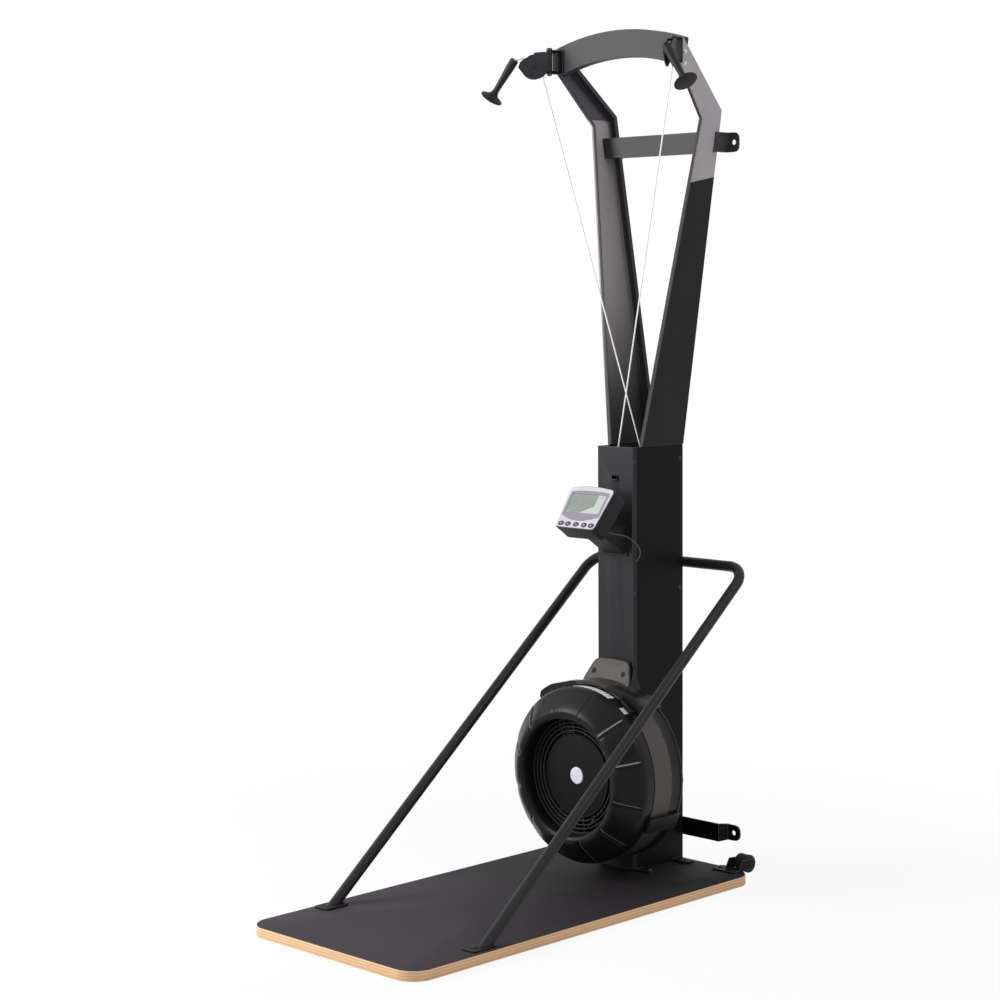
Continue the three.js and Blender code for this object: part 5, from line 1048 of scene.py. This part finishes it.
def laid_rope(path, radius=0.0019, step=0.002, pitch=0.005):
    """A carried round section on evenly spaced points, each read from the summed length. Its UV
    counts braid pitches along the rope."""
    run = np.concatenate([[0], np.cumsum(np.linalg.norm(np.diff(path, axis=0), axis=1))])
    places = np.linspace(0, run[-1], max(2, int(run[-1] / step) + 1))
    path = np.column_stack([np.interp(places, run, path[:, axis]) for axis in range(3)])
    points, faces, uv = carried(path, radius, 12, (0.9, 0.3, 0.1))
    return points, faces, uv * [run[-1] / pitch, 1.0]


def on_guide(first, last, plane):
    """An arc of the circle round the guide wheel's axis, in its own plane."""
    t = np.linspace(first, last, 14)
    x, z = GUIDE_RADIUS * np.cos(t), GUIDE_HEIGHT + GUIDE_RADIUS * np.sin(t)
    return np.column_stack([x, np.full(14, plane), z])


# The left rope crosses to the other side of its wheel on the way down, 40 mm over 828 mm.
to_spool = np.arcsin(40 / 828)
to_head = np.arctan2(ROPE_TOP[0] + GUIDE_RADIUS, ROPE_TOP[2] - GUIDE_HEIGHT)
for side, word in SIDES:
    head, handle, plane = f"head_{word}", f"handle_{word}", GUIDE_PLANE[side]
    turn = (np.pi - to_head, np.pi) if side > 0 else (to_head, -to_spool)
    top = ROPE_TOP * [side, 1, 1]
    drive = np.vstack([top, on_guide(*turn, plane), (-GUIDE_RADIUS, plane, SPOOL_HEIGHT)])
    rope = make_piece(f"long_rope_{word}", laid_rope(drive, step=0.004), rope_braid,
                      f"drive_rope_{word}", rides=False, sharp=80)
    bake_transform(rope)
    t = np.linspace(np.pi, 1.3215, 24)
    over = in_head(side, PULLEY_REACH + 0.0259 * np.cos(t), 0.0259 * np.sin(t))
    on_pulley = np.vstack([in_head(side, 0.0161, -0.0375), over, in_head(side, 0.075, 0.0175)])
    make_piece(f"pulley_rope_{word}", laid_rope(on_pulley), rope_braid, f"head_rope_{word}",
               sharp=80)
    grip_top, way = HANDLE_TOP * [side, 1, 1], unit(HANDLE_WAY * [side, 1, 1])
    ending = smooth_route(np.vstack([in_head(side, 0.092, 0.014), grip_top - way * 0.001,
                                     grip_top + way * 0.01, grip_top + way * 0.018]), 24)
    short = np.vstack([in_head(side, 0.0745, 0.0175), ending])
    rope = make_piece(f"short_rope_{word}", laid_rope(short, 0.00188), rope_braid,
                      f"head_rope_{word}", rides=False, sharp=80)
    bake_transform(rope)
print("laid six ropes")

# %% [markdown]
# ## The console
# On the console's silver face lie a grey panel that comes to a point over the middle button, a
# screen and five oval buttons. All of them are outlines made of short curves, drawn on the
# console's plane.

# %% Draw on the console's face
def face_outline(top, low, half, corner, crown=0.0, keel=0.0, lift=0.0):
    """Six quadratic curves, each (1 - t)^2 a + 2 t (1 - t) b + t^2 c: four corners, the top edge
    pulled up by the crown and the bottom edge pulled down by the keel."""
    lean = (top - low) / (2 * half) * corner
    right = [((low - corner, -half), (low, -half), (low + lean, corner - half)),
             ((top - lean, half - corner), (top, half), (top - corner, half))]
    crown_curve = ((top - corner, half), (0, half + 2 * crown), (corner - top, half))
    left = [tuple((-x, y) for x, y in reversed(curve)) for curve in reversed(right)]
    keel_curve = ((corner - low, -half), (0, -half - 2 * keel), (low - corner, -half))
    t = np.linspace(0, 1, 9)[:, None]
    curves = np.array([*right, crown_curve, *left, keel_curve])
    line = np.vstack([(1 - t) ** 2 * a + 2 * t * (1 - t) * b + t**2 * c for a, b, c in curves])
    return line + [0, lift]


softened("console_housing", dull_plastic, dull_plastic, 0.0009)
softened("console_bezel", silver_face, dull_plastic, 0.0006)
hole = face_outline(0.0592, 0.0592, 0.0292, 0.003, lift=0.014)
panel_line = face_outline(0.0685, 0.0655, 0.0385, 0.008, 0.0035, 0.0125, 0.0115)
panel = levelled([hole, panel_line, panel_line * 0.995 + [0, 0.0001], hole],
                 [0.0028, 0.0028, 0.00335, 0.00335])
panel = moved(grid(np.stack(panel), True, True), on_console)
make_piece("console_panel", panel, panel_grey, "console_bezel", replaces=False)
glass = stacked([face_outline(0.059 - draw, 0.059 - draw, 0.029 - draw, 0.003, lift=0.014)
                 for draw in (0, 0, 0.0004)], [0.0003, 0.0023, 0.0027])
make_piece("console_display", moved(glass, on_console), lcd_glass, "console_screen")
key = stacked([face_outline(0.0093 - draw, 0.0093 - draw, 0.0058 - draw, 0.0052 - draw,
                            lift=KEY_LINE) for draw in (0, 0, 0.0004, 0.0012, 0.003)],
              [0.0014, 0.0034, 0.004, 0.0043, 0.0044])
for number, x in enumerate((-0.053, -0.0286, 0.0, 0.0286, 0.053), 1):
    make_piece(f"console_key_{number}", moved(key, lambda p: on_console(p + [x, 0, 0])),
               key_plastic(f"key_plastic_{number}", number, x), f"console_button_{number}",
               sharp=50)

# %% [markdown]
# ## The fan's neck and the arms' bolts
# The neck plate is one more plate from an outline, leant back with the neck, with two dark screws.
# Two bright bolts hold the arch's end to each arm, square to the arm's leaning side.

# %% Add the neck plate and the bolts
NECK_FRONT, NECK_MIDDLE = 0.3638, 0.559
neck_line = face_outline(0.059, 0.0873, 0.034, 0.018, crown=0.0015, lift=NECK_MIDDLE)
neck = stacked([neck_line + (neck_line - [0, NECK_MIDDLE]) * -draw for draw in (0, 0, 0.015, 0.05)],
               [0.0, 0.003, 0.004, 0.0044])
neck = moved(neck, lambda p: np.column_stack(
    [p[:, 0], NECK_FRONT - p[:, 2] + NECK_LEAN * (p[:, 1] - NECK_FOOT), p[:, 1]]))
make_piece("neck_plate", neck, hood_plastic, "fan_rear_shell", replaces=False)
screw = turned([(0, 0.3591), (0.005, 0.3591), (0.0066, 0.3587), (0.007, 0.3591), (0.007, 0.36),
                (0, 0.36)], "Y", 32)
screws = [moved(screw, lambda p: p + [x, 0.0157, 0.56] + [0, NECK_LEAN, 0] * p[:, 2:])
          for x in (-0.0516, 0.0516)]
make_piece("neck_screws", gathered(*screws), disc_plastic, "fan_grille", replaces=False, sharp=50)
bolt = turned([(0, 0.0001), (0.0078, 0.0001), (0.008, 0.0012), (0.0064, 0.0014), (0.006, 0.0046),
               (0.005, 0.0056), (0, 0.0058)], "Z", 32)
ARM_PLATE = 0.0032
bolts = []
for side, _ in SIDES:
    way = np.array([side * np.cos(ARM_LEAN), 0.0, -np.sin(ARM_LEAN)])
    for x, y, z in ((0.2212, 0.4257, 2.1811), (0.2167, 0.429, 2.1525)):
        for sign, inward in ((1, 0.0), (-1, ARM_PLATE)):
            seat = np.array([side * x, y, z]) - way * inward
            bolts.append(moved(bolt, laid_along(seat, sign * way)))
make_piece("arm_bolts", gathered(*bolts), zinc, "swivel_pin_right", replaces=False)

# %% [markdown]
# ## The studio
# The floor and everything behind the machine are white. A camera, a reflection or a view through
# glass sees the world at full strength, while the light it sheds on surfaces is about half of that.
# Two soft lamps do the rest, a large one on the front left and a weaker one on the right.

# %% Light the machine
def seen_directly(graph):
    """1 for camera, glossy and transmission rays, and 0 for the others."""
    kinds = [graph.node("ShaderNodeLightPath", give=name) for name in
             ("Is Camera Ray", "Is Glossy Ray", "Is Transmission Ray")]
    return 1 - (1 - kinds[0]) * (1 - kinds[1]) * (1 - kinds[2])


WHITE, SHED = (1.0, 1.0, 1.0, 1.0), 0.42
world = bpy.data.worlds.new("white_studio")
world.use_nodes = True
bpy.context.scene.world = world
sky = Graph(world.node_tree)
surround = sky.node("ShaderNodeBackground",
                    values={"Color": WHITE, "Strength": seen_directly(sky) * (1 - SHED) + SHED})
sky.node("ShaderNodeOutputWorld", values={"Surface": surround})


def soft_lamp(name, place, target, size, power):
    """An area lamp whose -Z axis points from its place to its target."""
    lamp = bpy.data.lights.new(name, "AREA")
    lamp.shape, lamp.size, lamp.size_y, lamp.energy = "RECTANGLE", *size, power
    away = unit(np.subtract(place, target))
    level = unit(np.cross([0, 0, 1], away))
    stand(linked(name, lamp), place, (level, np.cross(away, level), away))


@a_finish
def paper_floor(graph):
    """Matt paper that glows white where a camera sees it, fully so beyond the machine's shadow."""
    paper = graph.mix(graph.noise(6.0), (0.8, 0.8, 0.8), (0.84, 0.84, 0.84))
    matt = graph.node("ShaderNodeBsdfDiffuse", values={"Color": paper})
    glow = graph.node("ShaderNodeEmission", values={"Color": WHITE, "Strength": 1.0})
    x, y = graph.parts("XY")
    share = seen_directly(graph) * (0.9 + graph.smooth((x * x + y * y) ** 0.5, 1.0, 2.4) * 0.1)
    mixed = graph.node("ShaderNodeMixShader", values={0: share, 1: matt, 2: glow})
    graph.node("ShaderNodeOutputMaterial", values={"Surface": mixed})


soft_lamp("front_softbox", (-3.0, -3.0, 2.6), (0, 0.2, 1.1), (2.2, 2.8), 240.0)
soft_lamp("side_softbox", (3.2, 0.4, 3.8), (0, 0.3, 1.2), (1.6, 2.0), 45.0)
FLOOR_HALF, FLOOR_HEIGHT = 14, -0.0004
floor_mesh = bpy.data.meshes.new("studio_floor")
floor_mesh.from_pydata([(x * FLOOR_HALF, y * FLOOR_HALF, FLOOR_HEIGHT)
                        for x, y in ((-1, -1), (1, -1), (1, 1), (-1, 1))], [], [(0, 1, 2, 3)])
floor_mesh.materials.append(paper_floor("white_floor"))
studio_floor = linked("studio_floor", floor_mesh)

bpy.context.scene.view_settings.view_transform = "Standard"
print("lamps:", [light.name for light in bpy.data.lights])

# %% [markdown]
# The last cell updates the view layer.

# %% Update the view layer
bpy.context.view_layer.update()
